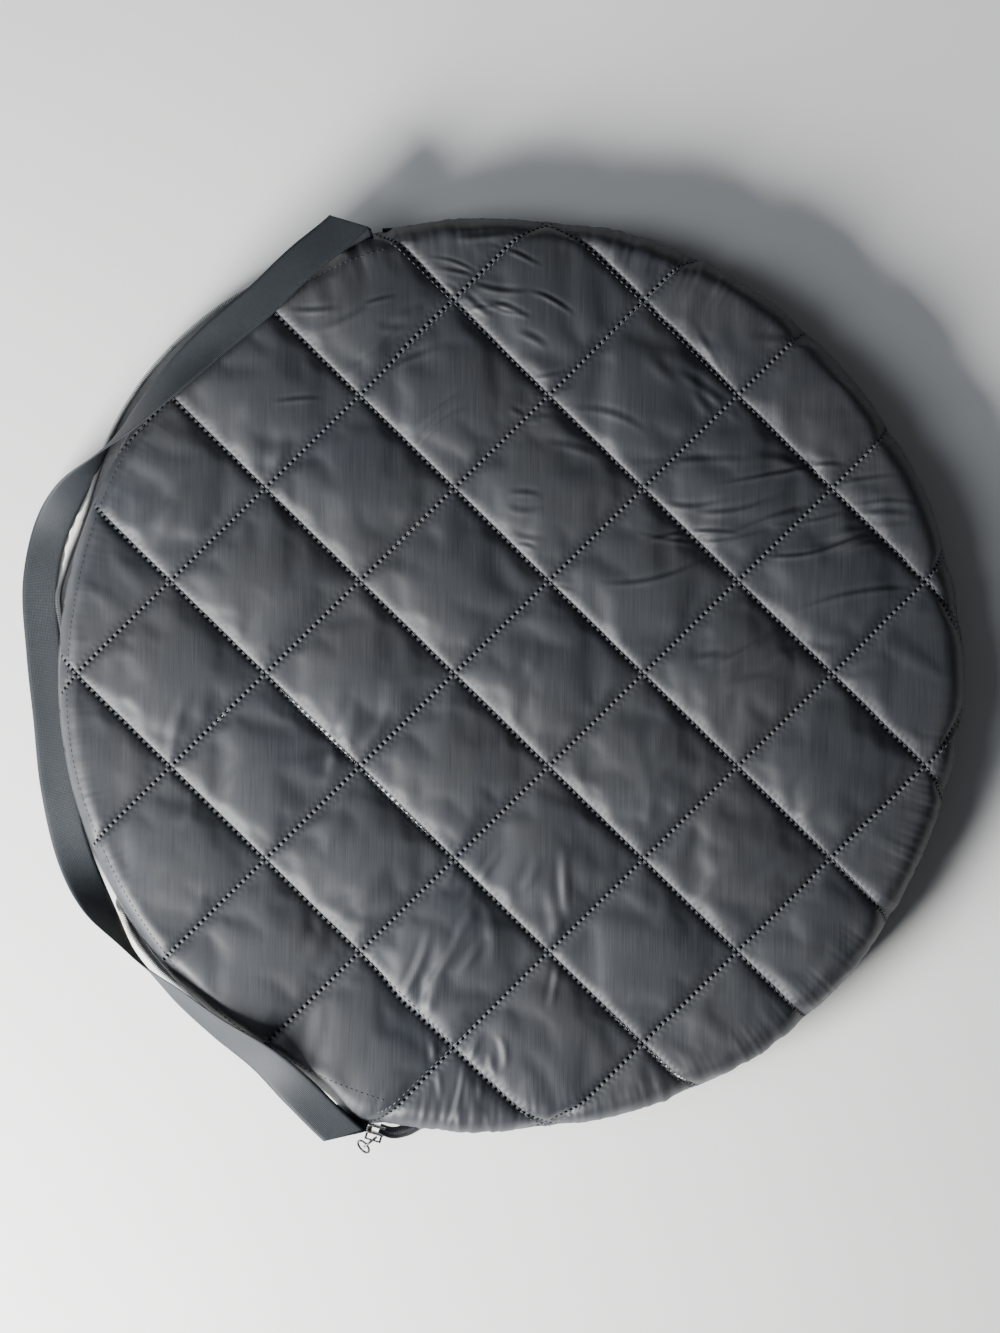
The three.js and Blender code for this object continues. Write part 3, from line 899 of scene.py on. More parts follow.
def through(stations, keys):
    """Rows of values at these keys on a smooth curve through stations, whose first column is the key."""
    rows = np.array(stations, float)
    at, values = rows[:, 0], rows[:, 1:]
    slopes = np.gradient(values, at, axis=0)
    keys = np.clip(keys, at[0], at[-1])
    i = np.clip(np.searchsorted(at, keys, "right") - 1, 0, len(at) - 2)
    gap = (at[i + 1] - at[i])[:, None]
    t = ((keys - at[i])[:, None]) / gap
    return ((2 * t ** 3 - 3 * t ** 2 + 1) * values[i] + (t ** 3 - 2 * t ** 2 + t) * gap * slopes[i]
            + (3 * t ** 2 - 2 * t ** 3) * values[i + 1] + (t ** 3 - t ** 2) * gap * slopes[i + 1])


def around(degrees, radius, height):
    turn = np.radians(degrees)
    return np.stack([radius * np.cos(turn), radius * np.sin(turn), height + 0 * turn], -1)


def unit(v):
    return v / np.linalg.norm(v, axis=-1, keepdims=True)


def between(at, where, rows):
    """Rows of values at distances, worked out between the known ones."""
    return np.stack([np.interp(at, where, column) for column in rows.T], 1)


def leaning(centres, lean):
    """The directions across and out of a strip that leans up from the level beside its path."""
    outward = unit(np.cross(np.gradient(centres, axis=0), [0, 0, 1]))
    upright = np.array([0, 0, 1])
    return outward * np.cos(lean) + upright * np.sin(lean), upright * np.cos(lean) - outward * np.sin(lean)


def evenly(points, values, count):
    """A path and the values along it, resampled to even steps: points, values and distance along."""
    length = np.concatenate([[0], np.cumsum(np.linalg.norm(np.diff(points, axis=0), axis=1))])
    even = np.linspace(0, length[-1], count)
    return between(even, length, points), between(even, length, values), even


def swept(name, centres, across, up, section):
    """Joins copies of a closed section into a skin. section is (steps, sides, 2), across and up."""
    steps, sides = len(centres), section.shape[-2]
    across, up = (np.broadcast_to(way, centres.shape) for way in (across, up))
    section = np.broadcast_to(section, (steps, sides, 2))
    points = centres[:, None] + section[..., :1] * across[:, None] + section[..., 1:] * up[:, None]
    points = points.reshape(-1, 3)
    index = np.arange(steps * sides).reshape(steps, sides)
    low, high = index[:-1], index[1:]
    faces = np.stack([low, high, np.roll(high, -1, 1), np.roll(low, -1, 1)], -1).reshape(-1, 4).tolist()
    faces += [index[0].tolist(), index[-1][::-1].tolist()]
    length = np.linspace(0, np.linalg.norm(np.diff(centres, axis=0), axis=1).sum(), steps)
    uv = np.stack([section[..., 0], np.broadcast_to(length[:, None], (steps, sides))], -1).reshape(-1, 2)
    return new_mesh(name, points, faces, uv)


def strip_section(width, thick, parts, edge=0.45):
    """A flat strip's section with rounded edges."""
    x = np.linspace(-1, 1, parts + 1)
    half = thick / 2 * (1 - (1 - edge) * np.abs(x) ** 6)
    top = np.stack([x * width / 2, half], 1)
    return np.concatenate([top[::-1], top * (1, -1)])


def tube_section(width, height, sides):
    turn = 2 * math.pi * (np.arange(sides) + 0.5) / sides
    return np.stack([width / 2 * np.cos(turn), height / 2 * np.sin(turn)], 1)


# --- thread ---------------------------------------------------------------------------------


def stitches(name, middles, along, up, long, thick):
    """Short threads with pulled-down ends, one for each middle."""
    rings, sides = 5, 6
    t = np.linspace(-1, 1, rings)
    bow = np.sqrt(np.clip(1 - 0.86 * t ** 2, 0, 1))
    turn = 2 * math.pi * np.arange(sides) / sides
    side = unit(np.cross(along, up))
    centres = middles[:, None] + along[:, None] * (t * long / 2)[:, None]
    centres = centres - up[:, None] * (0.9 * thick * t ** 2)[:, None]
    ring = side[:, None] * np.cos(turn)[:, None] + up[:, None] * np.sin(turn)[:, None]
    points = centres[:, :, None] + ring[:, None] * (thick / 2 * bow)[:, None, None]
    index = np.arange(points[..., 0].size).reshape(len(middles), rings, sides)
    low, high = index[:, :-1], index[:, 1:]
    walls = np.stack([low, np.roll(low, -1, 2), np.roll(high, -1, 2), high], -1).reshape(-1, 4).tolist()
    ends = index[:, 0, ::-1].tolist() + index[:, -1].tolist()
    return new_mesh(name, points.reshape(-1, 3), walls + ends)


def skin_tree(obj):
    return BVHTree.FromPolygons(vertex_points(obj).tolist(), [p.vertices[:] for p in obj.data.polygons])


def pressed_on(tree, points, side):
    """Points dropped straight onto a surface from outside, with its normals; misses are left out."""
    down = Vector((0, 0, -side))
    found = [tree.ray_cast(Vector((x, y, SEAM_Z + side * 0.2)), down)[:2] for x, y in points[:, :2]]
    hit = np.array([spot is not None for spot, normal in found])
    places = np.array([spot for spot, normal in found if spot is not None])
    normals = np.array([normal for spot, normal in found if spot is not None])
    normals *= np.where(normals[:, 2:] * side > 0, 1, -1)
    return places, normals, hit


THREAD_INSET = 11 * MM         # the quilting stops this far from the panel's edge


def quilting_thread(name, panel, side):
    """The lockstitches in the channels, one between each pair of needle holes."""
    reach = 5
    step = 0.3 / STITCHES
    beat = (np.arange(-reach * STITCHES, reach * STITCHES) + 0.5) / STITCHES
    spots, heads = [], []
    for line in range(-reach, reach + 1):
        held = line + 0 * beat
        spots.append(unlattice(held, beat))
        heads.append(unlattice(held, beat + step))
        if line >= LAST_LINE:
            spots.append(unlattice(beat, held))
            heads.append(unlattice(beat + step, held))
    spots, heads = np.concatenate(spots), np.concatenate(heads)
    within = past_edge(spots) < -THREAD_INSET
    place, _ = rolled(spots[within])
    head, _ = rolled(heads[within])
    middles, normals, hit = pressed_on(skin_tree(panel), place, side)
    along = (head - place)[hit] * (1, 1, side)
    along = unit(along - normals * (along * normals).sum(1, keepdims=True))
    long = 0.74 * LINE_APART / STITCHES
    return stitches(name, middles + normals * 0.28 * MM, along, normals, long, 0.62 * MM)


def mouth_topstitch(name, panel, side, inset):
    """A row of stitches along the mouth's edge."""
    pitch = 4.0 * MM
    degrees = np.arange(180 - ZIP_HALF, 180 + ZIP_HALF, math.degrees(pitch / CASE_R))
    wander = inset + 1.2 * MM * np.sin(np.radians(degrees) * 9)
    place = around(degrees, MOUTH_S - wander, 0)
    middles, normals, _ = pressed_on(skin_tree(panel), place, side)
    along = unit(np.cross(normals, middles * (1, 1, 0)))
    return stitches(name, middles + normals * 0.2 * MM, along, normals, 0.7 * pitch, 0.55 * MM)


# --- strap ----------------------------------------------------------------------------------

STRAP_W = 25 * MM
STRAP_T = 1.3 * MM
# Stations along the strap: angle, radius and height in mm, and roll (0 lies flat, 90 stands on edge)
STRAP_ROUTE = [
    (106.3, 343.3, 51, 0), (111, 330.2, 52.5, 0), (116.9, 320.6, 55, 0), (123, 312, 55.8, 0),
    (131, 309.5, 55.8, 8), (140, 311, 54, 38), (147, 317, 46, 66), (151.2, 325, 35, 88),
    (157, 335, 15, 140), (162, 340, 4.5, 174), (168, 339, 1.8, 180), (177, 330, 1.6, 180),
    (185, 326, 1.6, 180), (194, 329, 1.8, 180), (203, 333, 4.5, 174), (209, 332, 15, 140),
    (215, 328, 31, 96), (218.5, 325, 38, 84), (223, 320.5, 45, 66), (230, 316.5, 52, 52),
    (238, 315.5, 55.6, 30), (243.3, 323, 54.5, 6), (248.3, 334.3, 50, 0), (252.8, 345.5, 45, 0),
]
# Where the strap's ends fold under: a point on the line, its outward normal, height, the end's direction
STRAP_FOLDS = {
    "top": ((-0.1113, 0.3150), (0.286, 0.958), 52.0 * MM, (0.3175, -0.948)),
    "bottom": ((-0.1143, -0.3192), (0.216, -0.976), 48.8 * MM, (0.314, 0.949)),
}


TUCK_FROM, TUCK_TO = -14 * MM, 27 * MM     # the turned-under end, along the strap from its fold
CREASE_W, CREASE_T = 1.6 * MM, 3.4 * MM


def cut_beyond(obj, point, normal):
    """Cuts off what lies beyond an upright plane and closes the cut."""
    bm = bmesh.new()
    bm.from_mesh(obj.data)
    whole = bm.verts[:] + bm.edges[:] + bm.faces[:]
    cut = bmesh.ops.bisect_plane(bm, geom=whole, dist=1e-6, plane_co=(*point, 0), plane_no=(*normal, 0),
                                 clear_outer=True)
    edges = [e for e in cut["geom_cut"] if isinstance(e, bmesh.types.BMEdge)]
    bmesh.ops.contextual_create(bm, geom=edges)
    bm.to_mesh(obj.data)
    bm.free()
    return obj


def strap_path():
    """Centres, the directions across and out of the webbing, and the distance along it."""
    keys = np.linspace(STRAP_ROUTE[0][0], STRAP_ROUTE[-1][0], 1200)
    radius, height, roll = through(STRAP_ROUTE, keys).T
    centres = around(keys, radius * MM, height * MM)
    rough = np.linalg.norm(np.diff(centres, axis=0), axis=1).sum()
    centres, rolls, distance = evenly(centres, np.radians(roll)[:, None], int(rough / RIB) * 4 + 1)
    tangent = unit(np.gradient(centres, axis=0))
    inwards = unit(np.cross([0, 0, 1], tangent))
    rise = np.cross(tangent, inwards)
    across = inwards * np.cos(rolls) + rise * np.sin(rolls)
    return centres, across, np.cross(tangent, across), distance


def strap():
    """The webbing, with crosswise ribs, woven edges and a slight cup across it, and its length."""
    centres, across, up, distance = strap_path()
    base = strip_section(STRAP_W, STRAP_T, 10)
    section = np.repeat(base[None], len(centres), 0)
    rib = 0.5 - 0.5 * np.cos(2 * math.pi * distance / RIB)
    rib[0] = rib[-1] = 0
    swell = np.where(np.abs(base[:, 0]) < 0.47 * STRAP_W, 0.17 * MM, 0.05 * MM) * np.sign(base[:, 1])
    section[..., 1] += rib[:, None] * swell
    cup = 0.5 * MM * np.sin(distance / distance[-1] * 9)
    section[..., 1] += cup[:, None] * (base[:, 0] / STRAP_W * 2) ** 2
    edge = 0.12 * MM * np.sin(2 * math.pi * distance / RIB + 1)
    section[..., 0] += edge[:, None] * np.sign(base[:, 0]) * (np.abs(base[:, 0]) > 0.49 * STRAP_W)
    webbing = swept("strap_webbing_woven", centres, across, up, section)
    kept = np.ones(len(centres), bool)
    for point, normal, _, _ in STRAP_FOLDS.values():
        cut_beyond(webbing, point, normal)
        kept &= (centres[:, :2] - point) @ np.array(normal) < 0
    return webbing, float(np.ptp(distance[kept]))


def strap_end(name, end):
    """The webbing's end: doubled under at the fold, with a rounded crease along it."""
    point, normal, height, direction = STRAP_FOLDS[end]
    run = np.linspace(TUCK_FROM, TUCK_TO, 160)
    drop = 3.2 * MM + 13 * MM * smoothstep(run, 2 * MM, TUCK_TO)
    centres = np.array(point) + run[:, None] * np.array(direction)
    centres = np.column_stack([centres, height - drop])
    tangent = unit(np.gradient(centres, axis=0))
    across = unit(np.cross([0, 0, 1], tangent))
    section = np.repeat(strip_section(STRAP_W, STRAP_T, 10)[None], len(run), 0)
    section[..., 1] += (0.15 * MM * np.cos(2 * math.pi * run / RIB))[:, None] * np.sign(section[..., 1])
    under = cut_beyond(swept(name, centres, across, np.cross(tangent, across), section), point, normal)
    line = np.array([-normal[1], normal[0]])
    reach = 0.5 * STRAP_W / abs(np.dot(line, unit(np.array([-direction[1], direction[0]])))) - 2.5 * MM
    along = np.linspace(-reach, reach, 60)
    fold = np.array(point)[None] + along[:, None] * line - np.array(normal) * 0.6 * MM
    fold = np.column_stack([fold, np.full(len(along), height - 1.5 * MM)])
    section = tube_section(CREASE_W, CREASE_T, 12)[::-1]
    crease = swept(name + "_crease", fold, (*normal, 0), (0, 0, 1), section)
    return under, crease


def zip_tail(name, stations):
    """The closed zip's end: two tapes lying together with the meshed coil along the middle."""
    steps = 80
    keys = np.linspace(stations[0][0], stations[-1][0], steps)
    radius, height, lean = through(stations, keys).T
    centres = around(keys, radius * MM, height * MM)
    across, up = leaning(centres, np.radians(lean)[:, None])
    base = strip_section(11 * MM, 1.3 * MM, 22)
    ridge = 0.9 * MM * np.exp(-(base[:, 0] / (2.2 * MM)) ** 4) * np.sign(base[:, 1])
    teeth = 1 + 0.3 * np.sin(np.arange(steps) * 2.1)
    section = np.repeat(base[None], steps, 0)
    section[..., 1] += ridge[None] * teeth[:, None]
    return swept(name, centres, across, -up, section)


# --- zip ------------------------------------------------------------------------------------

COIL_PITCH = 1.27 * MM         # from one loop of the coil to the next
TAPE_W = 12 * MM
# The back coil strays out past the panel either side of the mouth: angle, radius and height in mm
BACK_COIL = [
    (111.8, 319, 20), (118, 322, 17), (123, 327, 15), (132, 331, 14), (142, 331, 14),
    (149, 328, 13), (155, 323, 13), (160, 320, 13), (166, 322, 13), (170, 323, 13),
    (174, 317, 12), (178, 311, 11), (184, 309, 11), (205, 309, 11), (210, 316, 12),
    (214, 321.5, 13), (219, 322, 13), (224, 319, 14), (236, 318, 17), (248.2, 319, 20),
]
# Each closed end of the zip: angle, radius and height in mm, and the tape's lean from flat
ZIP_TAIL_BOTTOM = [
    (253.9, 329.5, 27, 60), (255.6, 330, 26, 52), (257.2, 326, 25, 50), (259, 320, 24, 70),
    (261, 318.6, 25, 86),
]
ZIP_TAIL_TOP = [(99.5, 318.4, 26, 88), (102, 319, 26, 84), (104, 321, 27, 76), (106, 323, 27, 70)]


FRONT_COIL_R = 0.319, 0.3135   # beside the sewn rim, and across the open mouth
FRONT_COIL_Z = 31, 35.5        # the same, in mm
TAPE_LEAN = {1: -55.0, -1: 14.0}           # front and back, in degrees up from level
# The lining's lip: radius of its inner edge and of its outer edge's ends, and how far that edge bulges
LIP_FROM, LIP_TO, LIP_BULGE = 0.308, 0.3095, 16.5 * MM


def zip_path(side):
    """Centres of a coil, with the direction out of the tape's edge and the tape's upward direction."""
    if side > 0:
        keys = np.linspace(180 - ZIP_HALF + ZIP_END_GAP, 180 + ZIP_HALF - ZIP_END_GAP, 1500)
        opened = openness(np.radians(keys - 360 * (keys > 180)))
        centres = around(keys, lerp(*FRONT_COIL_R, opened), lerp(*FRONT_COIL_Z, opened) * MM)
    else:
        keys = np.linspace(BACK_COIL[0][0], BACK_COIL[-1][0], 1500)
        radius, height = through(BACK_COIL, keys).T * MM
        centres = around(keys, radius, height)
    lean = np.full(len(keys), TAPE_LEAN[side])
    length = np.linalg.norm(np.diff(centres, axis=0), axis=1).sum()
    centres, lean, distance = evenly(centres, np.radians(lean)[:, None], int(length / COIL_PITCH) * 3 + 1)
    return centres, *leaning(centres, lean), distance


def zip_tape(name, side):
    """Woven tape, ribbed along its length, from the panel's edge to its coil."""
    centres, out, up, _ = zip_path(side)
    base = strip_section(TAPE_W, 0.7 * MM, 12)
    ribs = 0.06 * MM * np.cos(base[:, 0] / (1.0 * MM) * 2 * math.pi) * np.sign(base[:, 1])
    section = np.repeat((base + np.stack([0 * ribs, ribs], 1))[None], len(centres), 0)
    ripple = 0.5 * MM * wave_noise(centres[:, :2], 0.04, SEED + 90 + side)
    section[..., 1] += ripple[:, None] * (0.5 - base[:, 0] / TAPE_W)
    middles = centres - out * (TAPE_W / 2 + 0.2 * MM) - up * 0.4 * MM
    return swept(name, middles, out, -up, section)


def zip_coil(name, side):
    """The nylon coil: one wire wound along the tape's edge, flattened where its loops lock."""
    centres, out, up, distance = zip_path(side)
    turns = int(distance[-1] / COIL_PITCH)
    per_turn = 12
    fine = np.linspace(0, distance[-1], turns * per_turn + 1)
    centres = between(fine, distance, centres)
    out, up = (unit(between(fine, distance, rows)) for rows in (out, up))
    turn = 2 * math.pi * np.arange(len(fine)) / per_turn
    wide = 1.5 * MM * np.cos(turn) + 0.25 * MM * np.cos(2 * turn)
    tall = 0.75 * MM * np.sin(turn)
    wire = centres + out * wide[:, None] + up * (tall + 0.5 * MM)[:, None]
    tangent = unit(np.gradient(wire, axis=0))
    radial = out * np.cos(turn)[:, None] + up * np.sin(turn)[:, None]
    away = unit(np.cross(tangent, np.cross(radial, tangent)))
    return swept(name, wire, away, np.cross(tangent, away), tube_section(0.62 * MM, 0.62 * MM, 5))


def lining_lip(name, low, high):
    """Where the back panel slumps outwards, its lining's edge shows beside the zip."""
    steps = 90
    keys = np.linspace(low, high, steps)
    t = np.linspace(-1, 1, steps)
    bulge = (1 - t ** 2) ** 0.6
    inner = around(keys, LIP_FROM + 0 * keys, 9 * MM)
    outer = around(keys, LIP_TO + LIP_BULGE * bulge + 0.6 * MM * np.sin(keys * 3), 8 * MM)
    centres, out = (inner + outer) / 2, unit(inner * (1, 1, 0))
    reach = np.linalg.norm(outer - inner, axis=1)
    base = strip_section(1.0, 0.8 * MM, 10)
    section = base[None] * np.stack([reach, np.ones(steps)], 1)[:, None]
    section[..., 1] += 0.8 * MM * np.sin(base[:, 0] * 7)[None] * bulge[:, None]
    return swept(name, centres, out, (0, 0, -1), section)


# --- small hardware -------------------------------------------------------------------------


def cad_copy(node, name):
    """A CAD part as a piece whose mesh is welded when its modifiers are baked."""
    obj = bpy.data.objects.new(name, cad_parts[node].data.copy())
    obj.data.materials.clear()
    bpy.context.scene.collection.objects.link(obj)
    obj.modifiers.new("Weld", "WELD").merge_threshold = 0.01 * MM
    return obj


def softened(node, name, width, segments=2):
    """A CAD part with its hard edges rounded."""
    obj = cad_copy(node, name)
    bevel = obj.modifiers.new("Bevel", "BEVEL")
    bevel.width = width
    bevel.segments = segments
    bevel.limit_method = "ANGLE"
    bevel.angle_limit = math.radians(28)
    bake_modifiers(obj)
    smooth_faces(obj.data)
    obj.data.set_sharp_from_angle(angle=math.radians(40))
    return obj


def subdivided_copy(node, name):
    """A rounder copy of a CAD part."""
    obj = cad_copy(node, name)
    obj.modifiers.new("Subdivision", "SUBSURF").levels = 2
    bake_modifiers(obj)
    smooth_faces(obj.data)
    return obj


# --- reflector ------------------------------------------------------------------------------

BINDING_LOW, BINDING_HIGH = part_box("reflector_edge_binding")
DISC_R = BINDING_HIGH.x
RINGS = 3
BINDING_TALL, BINDING_DEEP = 6 * MM, 7 * MM
RING_PITCH = (BINDING_HIGH.z - BINDING_LOW.z - BINDING_TALL) / RINGS
CLOTH_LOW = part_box("reflector_white_cloth")[0]
CLOTH_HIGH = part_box("reflector_silver_cloth")[1]


def edge_binding(name):
    """The taped rim of the disc, folded to three rings: a bulging hem, pleated towards the cloth."""
    steps = 360 * RINGS
    turns = np.linspace(0, RINGS, steps)
    angle = turns * 2 * math.pi
    middle_r = DISC_R - BINDING_DEEP / 2
    wobble = 0.5 * MM * np.sin(angle * 2 / 3 + 1)
    height = BINDING_LOW.z + BINDING_TALL / 2 + turns * RING_PITCH
    centres = around(np.degrees(angle), middle_r + wobble, height)
    across = around(np.degrees(angle), 1.0 + 0 * angle, 0)
    bend = np.linspace(-0.62, 0.62, 15) * math.pi
    outside = np.stack([0.5 * np.cos(bend) * np.abs(np.cos(bend)) ** -0.35, 0.48 * np.sin(bend)], 1)
    skin = outside * (BINDING_DEEP, BINDING_TALL)
    wall = skin * (0.83, 0.8)
    section = np.concatenate([skin, wall[::-1]])
    pleat = 1 + 0.05 * np.sin(angle * 97)[:, None, None] * (section[:, :1] < 0)[None]
    return swept(name, centres, across, (0, 0, -1), section[None] * pleat)


def binding_thread(name):
    """A row of stitches round the top of each ring of the binding."""
    pitch = 5 * MM
    count = int(2 * math.pi * DISC_R * RINGS / pitch)
    turns = np.linspace(0.01, RINGS - 0.01, count)
    degrees = turns * 360
    lift = BINDING_LOW.z + BINDING_TALL * 0.93 + turns * RING_PITCH
    middles = around(degrees, DISC_R - 0.66 * BINDING_DEEP + 0 * turns, lift)
    return stitches(name, middles, around(degrees + 90, 1.0, 0), np.tile([0.0, 0, 1], (count, 1)),
                    0.68 * pitch, 0.45 * MM)


def folded_cloth(name, low, high, seed):
    """A disc of cloth folded with the hoop: swirling pleats pressed flat between the rings."""
    rings, sectors = 64, 240
    reach = CLOTH_HIGH.x
    t = np.linspace(0.02, 1, rings)
    angle = 2 * math.pi * np.arange(sectors) / sectors
    t, angle = np.meshgrid(t, angle, indexing="ij")
    flat = np.stack([t * np.cos(angle), t * np.sin(angle)], -1).reshape(-1, 2) * reach
    swirl = angle.ravel() * 5 + t.ravel() * 4.5 + 0.8 * wave_noise(flat, 0.3, seed)
    fold = np.abs(((swirl / math.pi) % 2) - 1)
    pleats = smoothstep(fold, 0.1, 0.55) * smoothstep(t.ravel(), 0.05, 0.4)
    ripples = 0.25 * wave_noise(flat, 0.05, seed + 1) + 0.12 * wave_noise(flat, 0.02, seed + 2)
    bowl = 1 - t.ravel() ** 10
    thick = high - low
    top = high - thick * 0.34 * (1 - pleats + ripples) - 2 * MM * (1 - bowl)
    base = low + thick * 0.22 * (pleats + ripples) + 2 * MM * (1 - bowl)
    top, base = np.minimum(top, high), np.maximum(base, low)
    points = np.concatenate([np.column_stack([flat, top]), np.column_stack([flat, base]),
                             [[0, 0, top[:sectors].mean()], [0, 0, base[:sectors].mean()]]])
    index = np.arange(rings * sectors).reshape(rings, sectors)
    beside = np.roll(index, -1, 1)
    upper = np.stack([index[:-1], index[1:], beside[1:], beside[:-1]], -1).reshape(-1, 4)
    count = rings * sectors
    walls = np.stack([index[-1], index[-1] + count, beside[-1] + count, beside[-1]], -1)
    faces = upper.tolist() + (upper[:, ::-1] + count).tolist() + walls.tolist()
    faces += [[2 * count, a, b] for a, b in zip(index[0], beside[0])]
    faces += [[2 * count + 1, b + count, a + count] for a, b in zip(index[0], beside[0])]
    return new_mesh(name, points, faces, np.concatenate([flat, flat, [[0, 0], [0, 0]]]))


def rim_binding(name):
    """Tape folded over the seam allowance inside the sewn rim."""
    half = 180 - ZIP_HALF - 3
    keys = np.linspace(-half, half, 700)
    centres = around(keys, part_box("rim_seam_binding")[1].x - 4 * MM + 0 * keys, SEAM_Z)
    section = np.repeat(strip_section(8 * MM, 2.4 * MM, 12, 0.7)[None], len(keys), 0)
    section[..., 1] *= (1 + 0.07 * wave_noise(centres[:, :2], 0.02, SEED + 95))[:, None]
    return swept(name, centres, unit(centres * (1, 1, 0)), (0, 0, -1), section)


# --- assembly -------------------------------------------------------------------------------

NYLON = quilted_nylon()
WADDING = wadding_fibre()
LINING = lining_cloth()
WEBBING = ribbed_webbing()
TAPE = zip_tape_cloth()
COIL = coil_nylon()
THREAD = sewing_thread("thread", (0.085, 0.095, 0.105))
DARK_THREAD = sewing_thread("dark_thread", (0.018, 0.02, 0.023))
METAL = black_metal()
STEEL = spring_steel()
WHITE = reflector_cloth("white_cloth", (0.74, 0.73, 0.7), (0.86, 0.855, 0.83), 0.7, 0.0, 0.2)
SILVER = reflector_cloth("silver_cloth", (0.5, 0.51, 0.53), (0.72, 0.73, 0.75), 0.36, 0.7, 0.0)


FOLD_GAP = 0.15 * MM           # either side of the level where the two reflector cloths meet


def place(obj, material, slot, body, *nodes):
    """Paints a piece, lets it ride on a body (a front piece only has its place baked into its mesh) and takes
    the place of CAD nodes.
    """
    paint(obj, material)
    if body == "front":
        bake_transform(obj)
    else:
        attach(obj, body)
    if nodes:
        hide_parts(*nodes)
    return obj


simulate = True
front = quilted_panel("front_quilted_cover", 1, 2, simulate)
place(front, NYLON, "quilted_nylon", "front", "front_cover", "mouth_flap_cover")
place(quilting_thread("front_quilting_thread", front, 1), THREAD, "quilted_nylon", "front")
place(mouth_topstitch("front_mouth_topstitch", front, 1, 9 * MM), DARK_THREAD, "quilted_nylon", "front")
front_wadding = place(wadding("front_wadding", 1, front), WADDING, "wadding", "front",
                      "front_batting", "mouth_flap_batting")
front_lining = place(lining("front_lining_cloth", 1), LINING, "lining", "front",
                     "front_lining", "mouth_flap_lining")

back = quilted_panel("back_quilted_cover", -1, 1, False)
place(back, NYLON, "quilted_nylon", "case", "back_cover")
place(quilting_thread("back_quilting_thread", back, -1), THREAD, "quilted_nylon", "case")
back_wadding = place(wadding("back_wadding", -1, back), WADDING, "wadding", "case", "back_batting")
back_lining = place(lining("back_lining_cloth", -1), LINING, "lining", "case", "back_lining")
place(rim_binding("rim_seam_tape"), TAPE, "zip_tape", "case", "rim_seam_binding")
place(lining_lip("lining_lip_upper", 154, 171), LINING, "lining", "case")
place(lining_lip("lining_lip_lower", 208, 221.5), LINING, "lining", "case")

place(zip_tape("front_zip_tape_woven", 1), TAPE, "zip_tape", "mouth_flap", "front_zip_tape")
place(zip_coil("front_zip_teeth", 1), COIL, "zip_coil", "mouth_flap", "front_zip_coil")
place(zip_tape("back_zip_tape_woven", -1), TAPE, "zip_tape", "case", "back_zip_tape")
place(zip_coil("back_zip_teeth", -1), COIL, "zip_coil", "case", "back_zip_coil")
place(zip_tail("zip_tail_bottom_tape", ZIP_TAIL_BOTTOM), TAPE, "zip_tape", "case", "zip_tail_bottom")
place(zip_tail("zip_tail_top_tape", ZIP_TAIL_TOP), TAPE, "zip_tape", "case", "zip_tail_top")
place(softened("zip_slider", "zip_slider_cast", 0.35 * MM, 3), METAL, "black_metal", "slider", "zip_slider")
place(softened("slider_pull_tab", "slider_pull_cast", 0.3 * MM, 3), METAL, "black_metal", "pull_tab",
      "slider_pull_tab")
place(subdivided_copy("pull_ring", "pull_ring_wire"), METAL, "black_metal", "ring", "pull_ring")

webbing, webbing_long = strap()
paint(webbing, WEBBING)
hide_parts("strap_webbing")
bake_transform(webbing)
for end in STRAP_FOLDS:
    under, crease = strap_end(f"strap_end_{end}_woven", end)
    place(under, WEBBING, "webbing", "mouth_flap", f"strap_end_{end}")
    place(crease, WEBBING, "webbing", "mouth_flap")

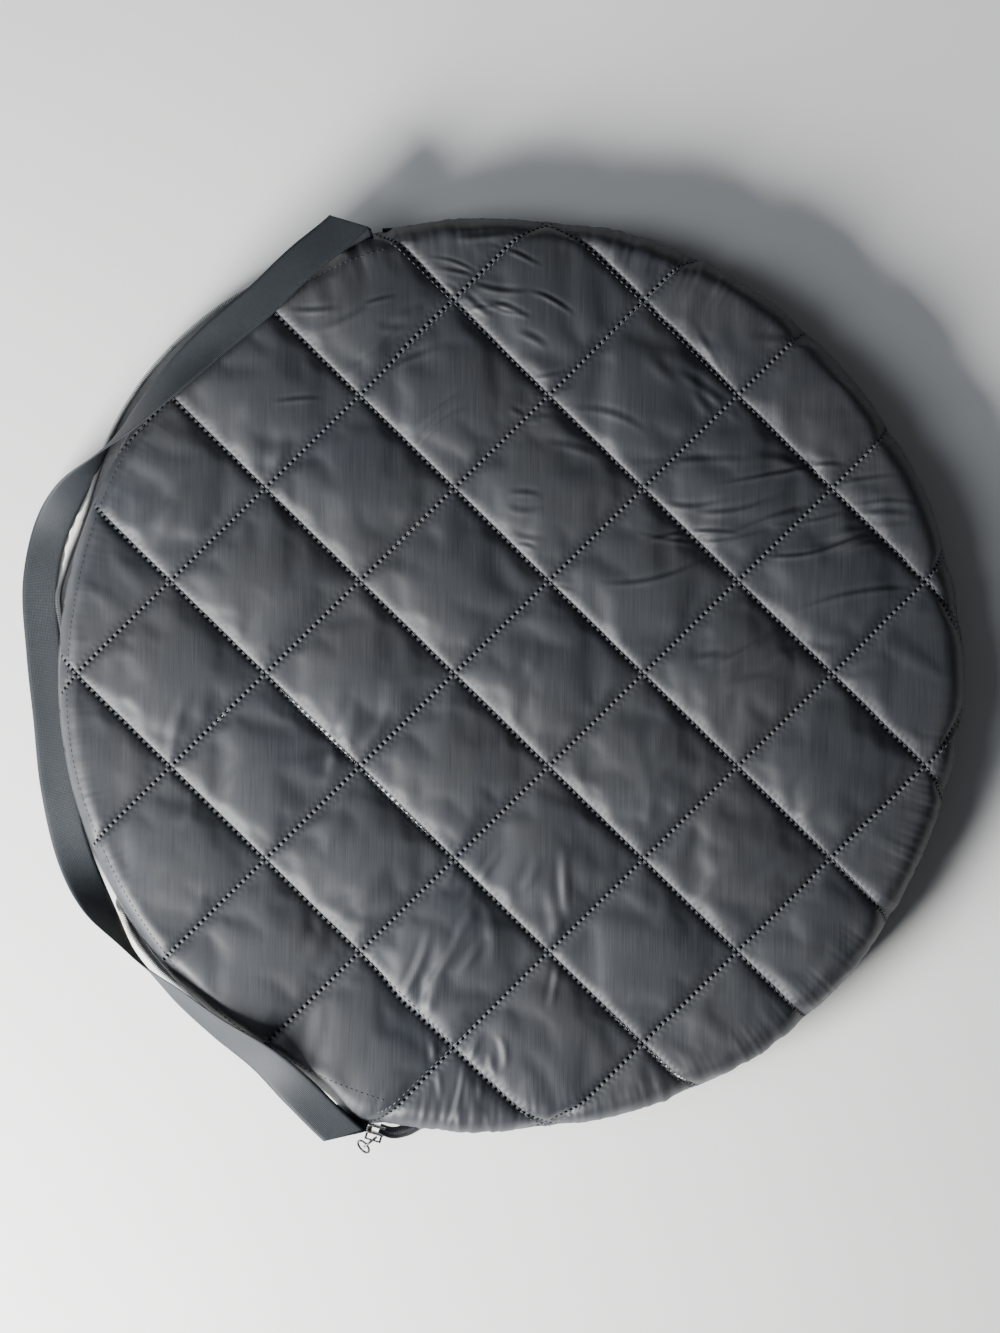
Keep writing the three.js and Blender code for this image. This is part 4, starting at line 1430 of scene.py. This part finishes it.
place(edge_binding("reflector_binding_tape"), TAPE, "zip_tape", "reflector", "reflector_edge_binding")
place(binding_thread("reflector_binding_thread"), THREAD, "zip_tape", "reflector")
place(softened("reflector_spring_band", "spring_band_steel", 0.2 * MM), STEEL, "spring_steel", "reflector",
      "reflector_spring_band")
place(softened("band_joint_sleeve", "band_sleeve_crimped", 0.25 * MM), STEEL, "spring_steel", "reflector",
      "band_joint_sleeve")
fold_z = (CLOTH_LOW.z + CLOTH_HIGH.z) / 2
white = place(folded_cloth("reflector_white_folds", CLOTH_LOW.z, fold_z - FOLD_GAP, SEED + 20), WHITE,
              "white_cloth", "reflector", "reflector_white_cloth")
silver = place(folded_cloth("reflector_silver_folds", fold_z + FOLD_GAP, CLOTH_HIGH.z, SEED + 30), SILVER,
               "silver_cloth", "reflector", "reflector_silver_cloth")


# --- camera, light and floor ----------------------------------------------------------------

VIEW_W = 0.70                  # the width of the view at the case's top
CAMERA_UP = 2.4


def stage():
    floor = new_mesh("floor", [(-6, -6, 0), (6, -6, 0), (6, 6, 0), (-6, 6, 0)], [(0, 1, 2, 3)])
    floor.location.z = -0.6 * MM
    material, _, node, wire = new_material("pale_floor", (0.86, 0.86, 0.86), 0.85)
    grain = noise_at(node, object_place(node), (3, 3, 3), 5.0)
    wire(ramp(node, grain, (0.3, (0.83, 0.835, 0.84)), (0.7, (0.88, 0.88, 0.88))), "Base Color")
    paint(floor, material)


def softbox(name, place, target, size, power, colour):
    lamp = bpy.data.lights.new(name, "AREA")
    lamp.shape = "SQUARE"
    lamp.size = size
    lamp.energy = power
    lamp.color = colour
    obj = bpy.data.objects.new(name, lamp)
    obj.location = place
    obj.rotation_euler = (Vector(target) - Vector(place)).to_track_quat("-Z", "Y").to_euler()
    bpy.context.scene.collection.objects.link(obj)


def studio():
    world = bpy.data.worlds.new("studio")
    world.use_nodes = True
    world.node_tree.nodes["Background"].inputs["Color"].default_value = (0.9, 0.95, 1.0, 1)
    world.node_tree.nodes["Background"].inputs["Strength"].default_value = 0.07
    bpy.context.scene.world = world
    softbox("key", (-1.1, -0.95, 0.72), (0, 0, 0), 0.7, 112, (1.0, 0.985, 0.96))
    softbox("left", (-1.4, 0.0, 1.7), (-0.1, 0, 0), 1.0, 15, (0.9, 0.95, 1.0))


def camera():
    lens = bpy.data.cameras.new("camera")
    lens.sensor_fit = "HORIZONTAL"
    lens.sensor_width = 36
    lens.lens = 36 * (CAMERA_UP - CASE_T / 2) / VIEW_W
    lens.clip_start, lens.clip_end = 0.05, 50
    obj = bpy.data.objects.new("camera", lens)
    obj.location = (-0.007, 0.00665, CAMERA_UP)
    bpy.context.scene.collection.objects.link(obj)
    bpy.context.scene.camera = obj


stage()
studio()
camera()
